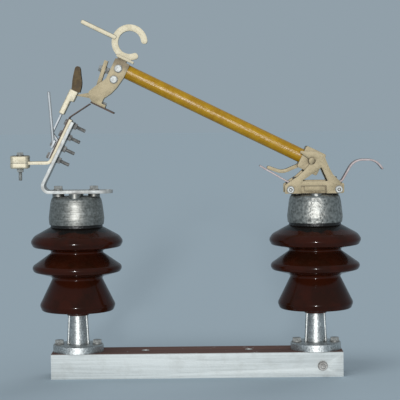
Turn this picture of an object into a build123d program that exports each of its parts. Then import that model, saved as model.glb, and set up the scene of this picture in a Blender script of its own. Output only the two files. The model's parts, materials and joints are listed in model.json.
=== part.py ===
from build123d import *
import math
import os

# Drop-out fuse cutout of the 11 kV class on two post insulators, in millimetres.
# X runs along the base channel, -Y is the front, Z is up, and the origin is on the
# floor below the middle of the channel. The fuse carrier is shown closed.

# Base channel, lying with its flanges down, with an earth stud at the front
CHANNEL_LENGTH = 464.0
CHANNEL_WIDTH = 75.0
CHANNEL_HEIGHT = 40.0
CHANNEL_WEB = 4.8
CHANNEL_FLANGE = 6.0
CHANNEL_OUTER_ROUND = 2.0
CHANNEL_INNER_ROUND = 4.0
MOUNT_HOLE_RADIUS = 6.0
MOUNT_HOLE_SPACING = 166.0
EARTH_STUD_RADIUS = 4.0
EARTH_STUD_INSET = 33.0
EARTH_STUD_HEIGHT = 18.0
EARTH_STUD_SPARE = 6.0

# Hex fasteners, in shares of the bolt's own radius
HEX_SHARE = 3.25
BOLT_HEAD_SHARE = 1.3
NUT_SHARE = 1.6
WASHER_RADIUS_SHARE = 2.0
WASHER_SHARE = 0.4
HOLE_CLEARANCE = 0.3

# Post insulators: a round flange, a waisted stem with a fin each side, and two bolts
POST_INSET = 41.2
POST_HEIGHT = 254.0
PEDESTAL_RADIUS = 40.5
PEDESTAL_FLANGE = 11.5
PEDESTAL_EDGE_ROUND = 2.0
STEM_FOOT_RADIUS = 15.8
STEM_RADIUS = 13.4
STEM_SHARE = 0.42
FIN_THICKNESS = 7.0
FIN_ROUND = 2.0
FIN_FLARE = 2.9
FIN_BOLT_GAP = 3.8
FLANGE_BOLT_RADIUS = 4.0
FLANGE_BOLT_EDGE = 10.0
FLANGE_BOLT_SPARE = 5.0

# Porcelain: shares of the shed radius and of the post height, with a rounding share of the radius
SHED_RADIUS = 72.5
CEMENT_GAP = 0.2
SHOULDER_SHARE = 0.787
PORCELAIN_FOOT_SHARES = [
    (0.245, 0.231, 0.0),
    (0.262, 0.259, 0.02),
    (0.785, 0.259, 0.06),
    (0.838, 0.297, 0.10),
]
PORCELAIN_SHED_SHARES = [
    (0.550, 0.464, 0.04),
    (0.590, 0.479, 0.04),
    (0.950, 0.507, 0.05),
    (1.012, 0.537, 0.085),
    (0.563, 0.628, 0.04),
    (0.600, 0.644, 0.04),
    (0.965, 0.664, 0.05),
    (1.025, 0.697, 0.09),
    (0.945, 0.731, 0.20),
]
SHOULDER_LIP = 1.0

# Bell caps and the black sealing rings below them
SEAL_HEIGHT = 8.5
SEAL_WIDTH = 7.5
CAP_RIM_RADIUS = 44.5
CAP_LIP = 3.0
CAP_TUCK = 1.1
CAP_TAPER = 5.6
CAP_LIFT = 4.3
CAP_ROUND = 7.0
# Cap flank: how much of the taper is reached at a share of the height
CAP_FLANK_SHARES = [(0.0, 0.22), (0.52, 0.75)]
CAP_FLANK_ROUND = 20.0
BOSS_HEIGHT = 5.0
HINGE_BOSS_HEIGHT = 2.0
BOSS_RADIUS = 9.5
BOSS_EDGE = 0.9
CAP_BOLT_RADIUS = 4.0
CAP_BOLT_DEPTH = 11.0
CAP_BOLT_FLOOR = 5.1

# Upper bracket: a flat bar on the left cap, bent back into a leaning leg
STRAP_THICKNESS = 5.0
STRAP_WIDTH = 42.0
STRAP_TAIL = 58.5
STRAP_TURN = 58.0
STRAP_BEND = 10.0
STRAP_END_SHARE = 0.42
LEG_LENGTH = 124.0
LEG_ANGLE = 63.5
SPARE_HOLE_RADIUS = 5.0
SPARE_HOLE_INSET = 8.5
LEG_BOLT_RADIUS = 3.0
LEG_BOLT_PITCH = 20.0
LEG_BOLT_INSET = 5.0
LEG_BOLT_REACH = 24.0

# Terminal strip on the leg, with its line clamp
TERMINAL_THICKNESS = 5.0
TERMINAL_WIDTH = 26.0
TERMINAL_LAP = 2.0
TERMINAL_SPACE = 6.5
TERMINAL_BEND = 8.0
CLAMP_LENGTH = 29.5
CLAMP_REACH = 103.5
CLAMP_LIP = 3.0
CLAMP_END = 4.0
CLAMP_UPPER_HEIGHT = 12.0
CLAMP_LOWER_HEIGHT = 8.5
CLAMP_CORNER = 6.0
CLAMP_ROUND = 2.5
CLAMP_GAP = 0.4
CLAMP_BOLT_RADIUS = 3.0
CLAMP_BOLT_SPARE = 14.0
WIRE_RADIUS = 3.5
WIRE_SPACING = 18.0

# Contact leaf, spring arm, contact block, lead-in tongue and arcing horn
LEAF_THICKNESS = 1.5
LEAF_WIDTH = 28.0
LEAF_RISE = 5.0
LEAF_BEND = 8.0
ARM_THICKNESS = 2.5
ARM_WIDTH = 16.0
ARM_JOG_GAP = 1.7
ARM_JOG_ANGLE = 60.0
ARM_STAND_OFF = 12.4
ARM_BEND = 2.5
STACK_OVERHANG = 3.0
CONTACT_RISE = 3.7
CONTACT_WIDTH = 24.0
CONTACT_STEM_LENGTH = 24.8
CONTACT_STEM_THICKNESS = 8.7
CONTACT_HEAD_LENGTH = 18.0
CONTACT_HEAD_THICKNESS = 14.0
CONTACT_ROUND = 2.0
LATCH_INSET = 5.0
TONGUE_WIDTH = 20.0
TONGUE_LENGTH = 37.0
TONGUE_DEPTH = 15.0
TONGUE_GROOVE = 14.0
TONGUE_BACK = 4.0
# Tongue edge, in shares of its length and depth: root, back, tip, front and root again
TONGUE_SHARES = [
    (0.0, 0.0), (0.41, -0.36), (0.78, -0.58), (0.95, -0.58),
    (1.0, -0.42), (0.76, 0.18), (0.45, 0.66), (0.0, 0.95),
]
HORN_RADIUS = 2.5
HORN_HEIGHT = 84.0
HORN_LEAN = 4.2
HORN_TIP_SHARE = 0.9
HORN_FRONT = 12.0
HORN_EYE_RADIUS = 6.5
HORN_EYE_THICKNESS = 3.0
CONTACT_GAP = 0.4

# Hinge on the right cap: a base casting between two A-shaped cheeks
PIN_OFFSET = 5.9
PIN_HEIGHT = 51.5
PIN_RADIUS = 5.4
PIN_FLAT = 2.4
PIN_CLEARANCE = 0.08
PIN_OVERHANG = 3.0
PIN_SINK = 5.0
PIN_WALL = 1.7
HINGE_SIDE_GAP = 3.0
HINGE_BASE_END = 7.0
HINGE_BASE_HEIGHT = 16.0
HINGE_BASE_ROUND = 3.0
HINGE_PAD_LENGTH = 32.0
HINGE_PAD_HEIGHT = 7.5
HINGE_PAD_LIFT = 4.2
HINGE_PAD_DEPTH = 5.0
CHEEK_THICKNESS = 7.0
CHEEK_ROUND = 2.0
FOOT_OUTSIDE = 9.8
FOOT_SHIFT = 2.0
FOOT_BOLT_RADIUS = 3.0
FOOT_BOLT_HEIGHT = 6.3
FOOT_BOLT_SPARE = 3.0
FOOT_LENGTH = 25.0
# Cheek corners from the pin, in shares of the feet's distance from the middle and of the pin's height
CHEEK_SHARES = [
    (-0.652, 0.345), (-0.272, 0.295), (0.19, 0.29), (0.514, 0.15), (0.60, -0.02),
    (0.725, -0.237), (0.87, -0.43), (1.24, -0.70), (1.24, -0.76), (-1.126, -0.76),
    (-1.126, -0.74), (-0.868, -0.60), (-0.629, -0.49), (-0.305, -0.28), (0.0, 0.0),
]
WINDOW_SHARES = [(0.389, -0.20), (-0.43, -0.622), (0.645, -0.622)]
WINDOW_ROUND = 0.8

# Spring strips bolted to the hinge base
EJECTOR_THICKNESS = 2.6
EJECTOR_WIDTH = 20.0
EJECTOR_LAP = 8.0
EJECTOR_PAST = 14.0
EJECTOR_BEND = 6.0
BUFFER_THICKNESS = 3.0
BUFFER_WIDTH = 20.0
BUFFER_LAP = 10.0
BUFFER_RISE = 34.5
BUFFER_RUN = 20.0
BUFFER_TOP = 34.5
BUFFER_TIP_RUN = 11.5
BUFFER_TIP_DROP = 15.0
BUFFER_FOOT_BEND = 7.0
BUFFER_BEND = 24.0

# Fuse carrier: tube with a hinge block below and a head casting above
TUBE_RADIUS = 11.3
TUBE_BORE_RADIUS = 8.0
TUBE_CLEARANCE = 0.1
HINGE_BLOCK_LENGTH = 34.5
HINGE_BLOCK_WALL = 7.2
HINGE_BLOCK_ROUND = 3.0
FINGER_THICKNESS = 5.5
FINGER_WIDTH = 16.0
FINGER_START = 12.0
FINGER_KNEE_ALONG = 33.5
FINGER_KNEE_DROP = 37.0
FINGER_TIP_ALONG = 56.0
FINGER_TIP_DROP = 39.5
FINGER_BEND = 24.0
NIB_DROP = 67.5
NIB_WIDTH = 10.0
NIB_TIP = 2.4
CASTING_BACK = 55.0
CASTING_SIDE = 3.7
CASTING_ROUND = 2.5
CASTING_ROOF = 0.7
SOCKET_DEPTH = 6.5
# Head casting corners: shares of the head's length back from the nib's tip and of the nib's drop
CASTING_SHARES = [
    (1.000, -0.14), (0.935, -0.45), (0.857, -0.63), (0.735, -0.80), (0.735, -0.925), (0.875, -0.925),
    (0.875, -0.99), (0.47, -0.99), (0.300, -0.90), (0.262, -0.80), (0.355, -0.63), (0.545, -0.36),
]
NIB_ROOT_SHARES = [(0.40, -0.925), (0.36, -0.78)]
CASTING_BOLT_RADIUS = 3.2
CASTING_BOLT_SPARE = 3.0
CASTING_BOLT_SHARES = [(0.745, -0.02), (0.765, -0.295)]
SHANK_THICKNESS = 10.0
SHANK_SHARES = (0.58, 0.872)
SHANK_DROP = 28.0
SHANK_CLEARANCE = 0.2
RING_RADIUS = 18.3
RING_BAND = 10.2
RING_WIDTH = 12.0
RING_BACK = 38.7
RING_RISE = 44.0
RING_GAP_START = -31.0
RING_GAP_SWEEP = 51.0
RING_END_SHARE = 0.45
RING_FOOT_BACK = 58.5
RING_FOOT_LENGTH = 29.5
RING_FOOT_HEIGHT = 4.0
RING_FOOT_WIDTH = 16.0
RING_NECK = 3.0
PRONG_THICKNESS = 7.0
PRONG_WIDTH = 13.0
PRONG_LENGTH = 62.0
PRONG_SEAT = 6.5
PRONG_DROP = 3.0
PRONG_ROUND = 3.0
TAB_THICKNESS = 6.0
TAB_WIDTH = 18.0
TAB_ROOT_BACK = 23.5
TAB_ROOT_DROP = 40.0
TAB_TOP_BACK = 18.0
TAB_TOP_RISE = 2.0
TAB_BOLT_RADIUS = 3.0
TAB_BOLT_DROP = 12.5
TAB_BOLT_SPARE = 0.5
PLATE_THICKNESS = 2.5
PLATE_WIDTH = 26.0
PLATE_BACK = 65.0
PLATE_LENGTH = 41.0
PLATE_SCREW_RADIUS = 2.0
PLATE_SCREW_SHARE = 0.815

CUT_OVERRUN = 5.0
BASE = (Align.CENTER, Align.CENTER, Align.MIN)

# Places worked out from the sizes above
LEFT_X = POST_INSET - CHANNEL_LENGTH / 2
RIGHT_X = CHANNEL_LENGTH / 2 - POST_INSET
CAP_PLANE = CHANNEL_HEIGHT + POST_HEIGHT
HINGE_PLANE = CAP_PLANE - BOSS_HEIGHT + HINGE_BOSS_HEIGHT

# Bolts and fins of the pedestals, and bosses on the caps
FLANGE_BOLT_X = PEDESTAL_RADIUS - FLANGE_BOLT_EDGE
FIN_REACH = FLANGE_BOLT_X - FLANGE_BOLT_RADIUS * WASHER_RADIUS_SHARE - FIN_BOLT_GAP
STEM_TOP = PORCELAIN_FOOT_SHARES[0][1] * POST_HEIGHT
SEAL_RADIUS = CAP_RIM_RADIUS - CAP_LIP
PORCELAIN_HEAD_RADIUS = SEAL_RADIUS - SEAL_WIDTH
PORCELAIN_HEAD_TOP = POST_HEIGHT - CAP_BOLT_DEPTH - CAP_BOLT_FLOOR
CAP_TOP_RADIUS = CAP_RIM_RADIUS - CAP_TAPER
CAP_TOP = POST_HEIGHT - BOSS_HEIGHT
BOSS_CIRCLE_RADIUS = CAP_TOP_RADIUS - BOSS_RADIUS - BOSS_EDGE
LEG_COS = math.cos(math.radians(LEG_ANGLE))
LEG_SIN = math.sin(math.radians(LEG_ANGLE))


def on_leg(along, out):
    """Point in XZ on the leaning leg: along its middle from the turn, and out on its left side."""
    x = LEFT_X - STRAP_TURN + along * LEG_COS - out * LEG_SIN
    z = CAP_PLANE + STRAP_THICKNESS / 2 + along * LEG_SIN + out * LEG_COS
    return x, z


# Layers on the left face of the leg, from the leg's middle plane outward
TERMINAL_OUT = (STRAP_THICKNESS + TERMINAL_THICKNESS) / 2
LEAF_OUT = STRAP_THICKNESS / 2 + TERMINAL_THICKNESS + LEAF_THICKNESS / 2
ARM_OUT = LEAF_OUT + (LEAF_THICKNESS + ARM_THICKNESS) / 2
EYE_OUT = ARM_OUT + ARM_THICKNESS / 2
LEG_BOLTS = [LEG_LENGTH - LEG_BOLT_INSET - LEG_BOLT_PITCH * i for i in range(4)]
STACK_START = LEG_BOLTS[-1] - STACK_OVERHANG
TERMINAL_KNEE = on_leg(STACK_START - TERMINAL_SPACE, TERMINAL_OUT)
TERMINAL_LEVEL = TERMINAL_KNEE[1]

# The contact block's face, and the point where the carrier's nib rests against it
CONTACT_FOOT = LEG_LENGTH + CONTACT_RISE
CONTACT_TOP = CONTACT_FOOT + CONTACT_STEM_LENGTH + CONTACT_HEAD_LENGTH
CONTACT_BACK = ARM_OUT + ARM_STAND_OFF + CONTACT_STEM_THICKNESS / 2
CONTACT_FACE = CONTACT_BACK - CONTACT_HEAD_THICKNESS
LATCH_X, LATCH_Z = on_leg(CONTACT_TOP - LATCH_INSET, CONTACT_FACE - CONTACT_GAP)

# Hinge and casting sizes that follow the tube and the cap bolts
FOOT_REACH = BOSS_CIRCLE_RADIUS + FOOT_OUTSIDE
HINGE_BASE_REACH = FOOT_REACH + HINGE_BASE_END
HINGE_BLOCK_HEIGHT = 2 * (TUBE_RADIUS + HINGE_BLOCK_WALL)
HINGE_BLOCK_DEPTH = 2 * (TUBE_RADIUS + PIN_WALL + PIN_SINK)
HINGE_WIDTH = HINGE_BLOCK_DEPTH + 2 * HINGE_SIDE_GAP
CASTING_WIDTH = 2 * (TUBE_RADIUS + CASTING_SIDE)
CASTING_TOP = TUBE_RADIUS + CASTING_ROOF

# The hinge pin, and the carrier's tilt that brings its nib to the latch point
PIN_X = RIGHT_X - PIN_OFFSET
PIN_Z = HINGE_PLANE + PIN_HEIGHT
LATCH_REACH = math.hypot(LATCH_X - PIN_X, LATCH_Z - PIN_Z)
NIB_ALONG = math.sqrt(LATCH_REACH**2 - NIB_DROP**2)
LATCH_RISE_ANGLE = math.degrees(math.atan2(LATCH_Z - PIN_Z, PIN_X - LATCH_X))
BARREL_ANGLE = LATCH_RISE_ANGLE + math.degrees(math.asin(NIB_DROP / LATCH_REACH))
CARRIER = Pos(PIN_X, 0, PIN_Z) * Rot(Y=BARREL_ANGLE)
PLATE_TOP = CASTING_SHARES[6][1] * NIB_DROP


def carried_point(along, up):
    """Point in XZ of a place on the carrier, given along the tube from the pin and up from its axis."""
    turn = math.radians(BARREL_ANGLE)
    x = PIN_X - along * math.cos(turn) + up * math.sin(turn)
    z = PIN_Z + along * math.sin(turn) + up * math.cos(turn)
    return x, z


# Small shared shapes
def disc(radius, bottom, top):
    """Upright cylinder between two heights."""
    return Pos(0, 0, bottom) * Cylinder(radius, top - bottom, align=BASE)


def hex_prism(radius, bottom, top):
    """Upright hexagon for a bolt of the given radius, between two heights."""
    face = RegularPolygon(radius * HEX_SHARE / 2, 6, major_radius=False)
    return Pos(0, 0, bottom) * extrude(face, amount=top - bottom)


def bolt_head(radius):
    """Washer and hex head standing on height zero."""
    washer = radius * WASHER_SHARE
    top = washer + radius * BOLT_HEAD_SHARE
    return disc(radius * WASHER_RADIUS_SHARE, 0, washer) + hex_prism(radius, washer, top)


def screw(radius, depth):
    """Headed screw whose shank runs down into the piece below."""
    return bolt_head(radius) + disc(radius, -depth, 0)


def bolt(radius, grip, spare):
    """Bolt through a grip, with washer and nut below it and some thread to spare."""
    washer = radius * WASHER_SHARE
    nut = radius * NUT_SHARE
    tail = disc(radius * WASHER_RADIUS_SHARE, -grip - washer, -grip)
    tail += hex_prism(radius, -grip - washer - nut, -grip - washer)
    return screw(radius, grip + washer + nut + spare) + tail


def hole(radius, length):
    """Clearance hole for a bolt, centred on height zero."""
    return Cylinder(radius + HOLE_CLEARANCE, length + 2 * CUT_OVERRUN)


def rounded_face(points, radii):
    """Closed outline with a rounding at each corner."""
    return make_face(FilletPolyline(*points, radius=radii, close=True))


def upright(face, width):
    """Outline drawn in X and Z, given a width across Y."""
    return Rot(X=90) * extrude(face, amount=width / 2, both=True)


def box_between(x0, x1, width, z0, z1):
    """Box between two X and two Z places, centred across Y."""
    return Pos((x0 + x1) / 2, 0, z0) * Box(abs(x1 - x0), width, z1 - z0, align=BASE)


def sideways_points(points, shift):
    """The corners of a polyline moved sideways to its left by a shift."""
    moved = []
    for i, (x, z) in enumerate(points):
        before = points[max(i - 1, 0)]
        after = points[min(i + 1, len(points) - 1)]
        first = Vector(x - before[0], z - before[1])
        second = Vector(after[0] - x, after[1] - z)
        first = (first if first.length else second).normalized()
        second = (second if second.length else first).normalized()
        normal = Vector(-first.Y - second.Y, first.X + second.X)
        stretch = 2 * shift / (normal.length * normal.length)
        moved.append((x + normal.X * stretch, z + normal.Y * stretch))
    return moved


def turn_of(points, i):
    """Sign of the turn at a corner: positive to the left."""
    (ax, az), (bx, bz), (cx, cz) = points[i - 1 : i + 2]
    return math.copysign(1, (bx - ax) * (cz - bz) - (bz - az) * (cx - bx))


def ribbon_face(points, bends, thickness):
    """Outline of a flat bar bent along a middle line, with one bend radius for each corner."""
    half = thickness / 2
    turns = [turn_of(points, i) for i in range(1, len(points) - 1)]
    left = [bend - half * turn for bend, turn in zip(bends, turns)]
    right = [bend + half * turn for bend, turn in zip(bends, turns)]
    corners = sideways_points(points, half) + sideways_points(points, -half)[::-1]
    return rounded_face(corners, [0, *left, 0, 0, *right[::-1], 0])


def ribbon(points, bends, thickness, width):
    """Bent flat bar with its width across Y."""
    return upright(ribbon_face(points, bends, thickness), width)


def leg_cylinder(radius, along, low, high):
    """Cylinder square to the leaning leg, between two distances out from its middle plane."""
    x, z = on_leg(along, low)
    return Pos(x, 0, z) * Rot(Y=-LEG_ANGLE) * disc(radius, 0, high - low)


# Base channel
def base_channel():
    half = CHANNEL_WIDTH / 2
    inner = half - CHANNEL_FLANGE
    web = CHANNEL_HEIGHT - CHANNEL_WEB
    corners = [(-half, 0), (-half, CHANNEL_HEIGHT), (half, CHANNEL_HEIGHT), (half, 0)]
    corners += [(inner, 0), (inner, web), (-inner, web), (-inner, 0)]
    outer, inside = CHANNEL_OUTER_ROUND, CHANNEL_INNER_ROUND
    face = rounded_face(corners, [0, outer, outer, 0, 0, inside, inside, 0])
    bar = Rot(Z=90) * upright(face, CHANNEL_LENGTH)
    for side in (-1, 1):
        bar -= Pos(side * MOUNT_HOLE_SPACING / 2, 0, web) * Cylinder(MOUNT_HOLE_RADIUS, CHANNEL_HEIGHT)
        for x in flange_bolt_places(side * RIGHT_X):
            bar -= Pos(x, 0, web) * hole(FLANGE_BOLT_RADIUS, CHANNEL_WEB)
    earth = Rot(X=90) * hole(EARTH_STUD_RADIUS, CHANNEL_FLANGE)
    return bar - Pos(earth_stud_x(), -half, EARTH_STUD_HEIGHT) * earth


def earth_stud_x():
    return CHANNEL_LENGTH / 2 - EARTH_STUD_INSET


def earth_stud():
    """Bolt from inside the front flange, with its nut and free thread at the front."""
    fastener = Rot(X=-90) * bolt(EARTH_STUD_RADIUS, CHANNEL_FLANGE, EARTH_STUD_SPARE)
    return Pos(earth_stud_x(), CHANNEL_FLANGE - CHANNEL_WIDTH / 2, EARTH_STUD_HEIGHT) * fastener


# Post insulators
def flange_bolt_places(x):
    return [x - FLANGE_BOLT_X, x + FLANGE_BOLT_X]


def flange_bolts(x):
    one = bolt(FLANGE_BOLT_RADIUS, PEDESTAL_FLANGE + CHANNEL_WEB, FLANGE_BOLT_SPARE)
    z = CHANNEL_HEIGHT + PEDESTAL_FLANGE
    return Compound([Pos(bolt_x, 0, z) * one for bolt_x in flange_bolt_places(x)])


def pedestal(x):
    """Round flange with a waisted stem that goes up into the porcelain, and a fin each side of it."""
    flange = disc(PEDESTAL_RADIUS, 0, PEDESTAL_FLANGE)
    flange = fillet(flange.faces().sort_by(Axis.Z)[-1].edges(), PEDESTAL_EDGE_ROUND)
    waist = Cone(STEM_FOOT_RADIUS, STEM_RADIUS, STEM_TOP - PEDESTAL_FLANGE, align=BASE)
    stem = Pos(0, 0, PEDESTAL_FLANGE) * waist + disc(STEM_RADIUS, STEM_TOP, STEM_SHARE * POST_HEIGHT)
    top = STEM_TOP - CEMENT_GAP
    corners = [(-FIN_REACH, 0), (FIN_REACH, 0), (FIN_REACH - FIN_FLARE, top), (FIN_FLARE - FIN_REACH, top)]
    fins = upright(make_face(Polyline(*corners, close=True)), FIN_THICKNESS)
    long_edges = fins.faces().sort_by(Axis.X)[0].edges() + fins.faces().sort_by(Axis.X)[-1].edges()
    fins = fillet(long_edges.filter_by(lambda edge: edge.length > STEM_TOP / 2), FIN_ROUND)
    casting = flange + stem + fins
    for bolt_x in flange_bolt_places(0):
        casting -= Pos(bolt_x, 0, 0) * hole(FLANGE_BOLT_RADIUS, 2 * PEDESTAL_FLANGE)
    return Pos(x, 0, CHANNEL_HEIGHT) * casting


def porcelain(x):
    bore = STEM_RADIUS + CEMENT_GAP
    stem_top = STEM_SHARE * POST_HEIGHT
    shoulder = SHOULDER_SHARE * POST_HEIGHT
    points = [(0, stem_top), (bore, stem_top), (bore, STEM_TOP)]
    radii = [0, 0, 0]
    for out, up, rounding in PORCELAIN_FOOT_SHARES + PORCELAIN_SHED_SHARES:
        points.append((out * SHED_RADIUS, up * POST_HEIGHT))
        radii.append(rounding * SHED_RADIUS)
    points += [(SEAL_RADIUS + SHOULDER_LIP, shoulder), (PORCELAIN_HEAD_RADIUS, shoulder)]
    points += [(PORCELAIN_HEAD_RADIUS, PORCELAIN_HEAD_TOP), (0, PORCELAIN_HEAD_TOP)]
    radii += [0, 0, 0, 0]
    body = revolve(Rot(X=90) * rounded_face(points, radii), Axis.Z)
    return Pos(x, 0, CHANNEL_HEIGHT) * body


def seal_ring(x):
    shoulder = CHANNEL_HEIGHT + SHOULDER_SHARE * POST_HEIGHT
    opening = Cylinder(PORCELAIN_HEAD_RADIUS + CEMENT_GAP, 2 * SEAL_HEIGHT + CUT_OVERRUN)
    return Pos(x, 0, shoulder) * (disc(SEAL_RADIUS, 0, SEAL_HEIGHT) - opening)


def boss_places():
    turns = [math.radians(90 * quarter) for quarter in range(4)]
    return [(BOSS_CIRCLE_RADIUS * math.cos(t), BOSS_CIRCLE_RADIUS * math.sin(t)) for t in turns]


def insulator_cap(x, boss):
    """Bell cap over the porcelain's head, with four bosses of the given height on top."""
    shoulder = SHOULDER_SHARE * POST_HEIGHT
    rim = shoulder + CAP_LIFT
    inner = PORCELAIN_HEAD_RADIUS + CEMENT_GAP
    mouth = SEAL_RADIUS + CEMENT_GAP
    seat = shoulder + SEAL_HEIGHT
    points = [(inner, seat), (mouth, seat), (mouth, rim), (CAP_RIM_RADIUS - CAP_TUCK, rim)]
    for taper, rise in CAP_FLANK_SHARES:
        points.append((CAP_RIM_RADIUS - taper * CAP_TAPER, rim + rise * (CAP_TOP - rim)))
    points += [(CAP_TOP_RADIUS, CAP_TOP), (0, CAP_TOP), (0, PORCELAIN_HEAD_TOP), (inner, PORCELAIN_HEAD_TOP)]
    radii = [0, 0, 0, CAP_TUCK / 2, *[CAP_FLANK_ROUND] * len(CAP_FLANK_SHARES), CAP_ROUND, 0, 0, 0]
    bell = revolve(Rot(X=90) * rounded_face(points, radii), Axis.Z)
    for bx, by in boss_places():
        bell += Pos(bx, by, 0) * disc(BOSS_RADIUS, CAP_TOP - CAP_ROUND, CAP_TOP + boss)
    blind = disc(CAP_BOLT_RADIUS + HOLE_CLEARANCE, -CAP_BOLT_DEPTH, CUT_OVERRUN)
    for side in (-1, 1):
        bell -= Pos(side * BOSS_CIRCLE_RADIUS, 0, CAP_TOP + boss) * blind
    return Pos(x, 0, CHANNEL_HEIGHT) * bell


def cap_bolts(x, plane, grips):
    """Two screws into a cap, each through a grip of its own."""
    screws = []
    for side, grip in zip((-1, 1), grips):
        place = Pos(x + side * BOSS_CIRCLE_RADIUS, 0, plane + grip)
        screws.append(place * screw(CAP_BOLT_RADIUS, grip + CAP_BOLT_DEPTH))
    return Compound(screws)


# Upper bracket and what is bolted to it
def upper_bracket():
    level = CAP_PLANE + STRAP_THICKNESS / 2
    points = [(LEFT_X + STRAP_TAIL, level), on_leg(0, 0), on_leg(LEG_LENGTH, 0)]
    bar = ribbon(points, [STRAP_BEND], STRAP_THICKNESS, STRAP_WIDTH)
    tail_edges = bar.edges().filter_by(Axis.Z).sort_by(Axis.X)[-2:]
    bar = fillet(tail_edges, STRAP_END_SHARE * STRAP_WIDTH)
    for side in (-1, 1):
        bar -= Pos(LEFT_X + side * BOSS_CIRCLE_RADIUS, 0, level) * hole(CAP_BOLT_RADIUS, STRAP_THICKNESS)
    spare = LEFT_X + STRAP_TAIL - SPARE_HOLE_INSET
    bar -= Pos(spare, 0, level) * hole(SPARE_HOLE_RADIUS, STRAP_THICKNESS)
    return bar - leg_holes()


def leg_holes():
    """Clearance holes for the four bolts that pass through the leg and its layers."""
    radius = LEG_BOLT_RADIUS + HOLE_CLEARANCE
    reach = EYE_OUT + CUT_OVERRUN
    return [leg_cylinder(radius, along, -reach, reach) for along in LEG_BOLTS]


def leg_bolt(i):
    """Bolt across the leg: the third one also holds the horn's eye, the fourth the arm alone."""
    leaf_face = LEAF_OUT + LEAF_THICKNESS / 2
    tops = [leaf_face, leaf_face, EYE_OUT + HORN_EYE_THICKNESS, EYE_OUT]
    washer = LEG_BOLT_RADIUS * WASHER_SHARE
    nut = LEG_BOLT_RADIUS * NUT_SHARE
    grip = tops[i] + STRAP_THICKNESS / 2
    shank = disc(LEG_BOLT_RADIUS, -tops[i] - LEG_BOLT_REACH, 0)
    head = hex_prism(LEG_BOLT_RADIUS, 0, LEG_BOLT_RADIUS * BOLT_HEAD_SHARE)
    tail = disc(LEG_BOLT_RADIUS * WASHER_RADIUS_SHARE, -grip - washer, -grip)
    tail += hex_prism(LEG_BOLT_RADIUS, -grip - washer - nut, -grip - washer)
    x, z = on_leg(LEG_BOLTS[i], tops[i])
    return Pos(x, 0, z) * Rot(Y=-LEG_ANGLE) * (shank + head + tail)


def terminal_strip():
    top = on_leg(LEG_LENGTH + TERMINAL_LAP, TERMINAL_OUT)
    points = [top, TERMINAL_KNEE, (LEFT_X - CLAMP_REACH + CLAMP_END, TERMINAL_LEVEL)]
    strip = ribbon(points, [TERMINAL_BEND], TERMINAL_THICKNESS, TERMINAL_WIDTH)
    strip -= leg_holes()
    return strip - Pos(clamp_middle(), 0, TERMINAL_LEVEL) * hole(CLAMP_BOLT_RADIUS, TERMINAL_THICKNESS)


def clamp_middle():
    return LEFT_X - CLAMP_REACH + CLAMP_LENGTH / 2


def clamp_half(height, side):
    """Half of the line clamp above or below the strip's end, which sits in its recess."""
    width = TERMINAL_WIDTH + 2 * CLAMP_LIP
    half = extrude(RectangleRounded(CLAMP_LENGTH, width, CLAMP_CORNER), amount=height)
    half = fillet(half.faces().sort_by(Axis.Z)[-1].edges(), CLAMP_ROUND)
    reach = CLAMP_LENGTH - CLAMP_END + CUT_OVERRUN
    recess = Box(reach, TERMINAL_WIDTH + 2 * HOLE_CLEARANCE, TERMINAL_THICKNESS)
    half -= Pos(reach / 2 - CLAMP_LENGTH / 2 + CLAMP_END - HOLE_CLEARANCE, 0, 0) * recess
    half -= Pos(0, 0, -CUT_OVERRUN) * Box(2 * CLAMP_LENGTH, 2 * width, 2 * CUT_OVERRUN + CLAMP_GAP)
    half -= hole(CLAMP_BOLT_RADIUS, 2 * height)
    if side > 0:
        half -= wire_grooves()
    flip = Rot(X=0 if side > 0 else 180)
    return Pos(clamp_middle(), 0, TERMINAL_LEVEL) * flip * half


def wire_grooves():
    """Two arched grooves for line wires, one each side of the clamp's bolt."""
    floor = TERMINAL_THICKNESS / 2
    grooves = []
    arch = Pos(0, 0, floor + WIRE_RADIUS) * Rot(Y=90) * Cylinder(WIRE_RADIUS, 2 * CLAMP_LENGTH)
    drop = Box(2 * CLAMP_LENGTH, 2 * WIRE_RADIUS, floor + WIRE_RADIUS, align=BASE)
    for side in (-1, 1):
        place = Pos(0, side * WIRE_SPACING / 2, 0)
        grooves += [place * arch, place * drop]
    return grooves


def terminal_bolt():
    grip = CLAMP_UPPER_HEIGHT + CLAMP_LOWER_HEIGHT
    place = Pos(clamp_middle(), 0, TERMINAL_LEVEL + CLAMP_UPPER_HEIGHT)
    return place * bolt(CLAMP_BOLT_RADIUS, grip, CLAMP_BOLT_SPARE)


def contact_leaf():
    """Flat copper leaf up the leg, bent towards the carrier and ending below its contact plate."""
    low = PLATE_TOP - PLATE_THICKNESS - CONTACT_GAP - LEAF_THICKNESS
    tip = carried_point(NIB_ALONG - PLATE_BACK + PLATE_LENGTH, low)
    points = [on_leg(STACK_START, LEAF_OUT), on_leg(LEG_LENGTH + LEAF_RISE, LEAF_OUT), tip]
    return ribbon(points, [LEAF_BEND], LEAF_THICKNESS, LEAF_WIDTH) - leg_holes()


def spring_arm():
    """Springy bar from under the lower bolts out past the upper bolt heads to the contact block."""
    jog = LEG_BOLTS[2] + HORN_EYE_RADIUS + ARM_JOG_GAP
    jog_end = jog + ARM_STAND_OFF / math.tan(math.radians(ARM_JOG_ANGLE))
    out = ARM_OUT + ARM_STAND_OFF
    points = [on_leg(STACK_START, ARM_OUT), on_leg(jog, ARM_OUT)]
    points += [on_leg(jog_end, out), on_leg(CONTACT_FOOT, out)]
    return ribbon(points, [ARM_BEND, ARM_BEND], ARM_THICKNESS, ARM_WIDTH) - leg_holes()


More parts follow.
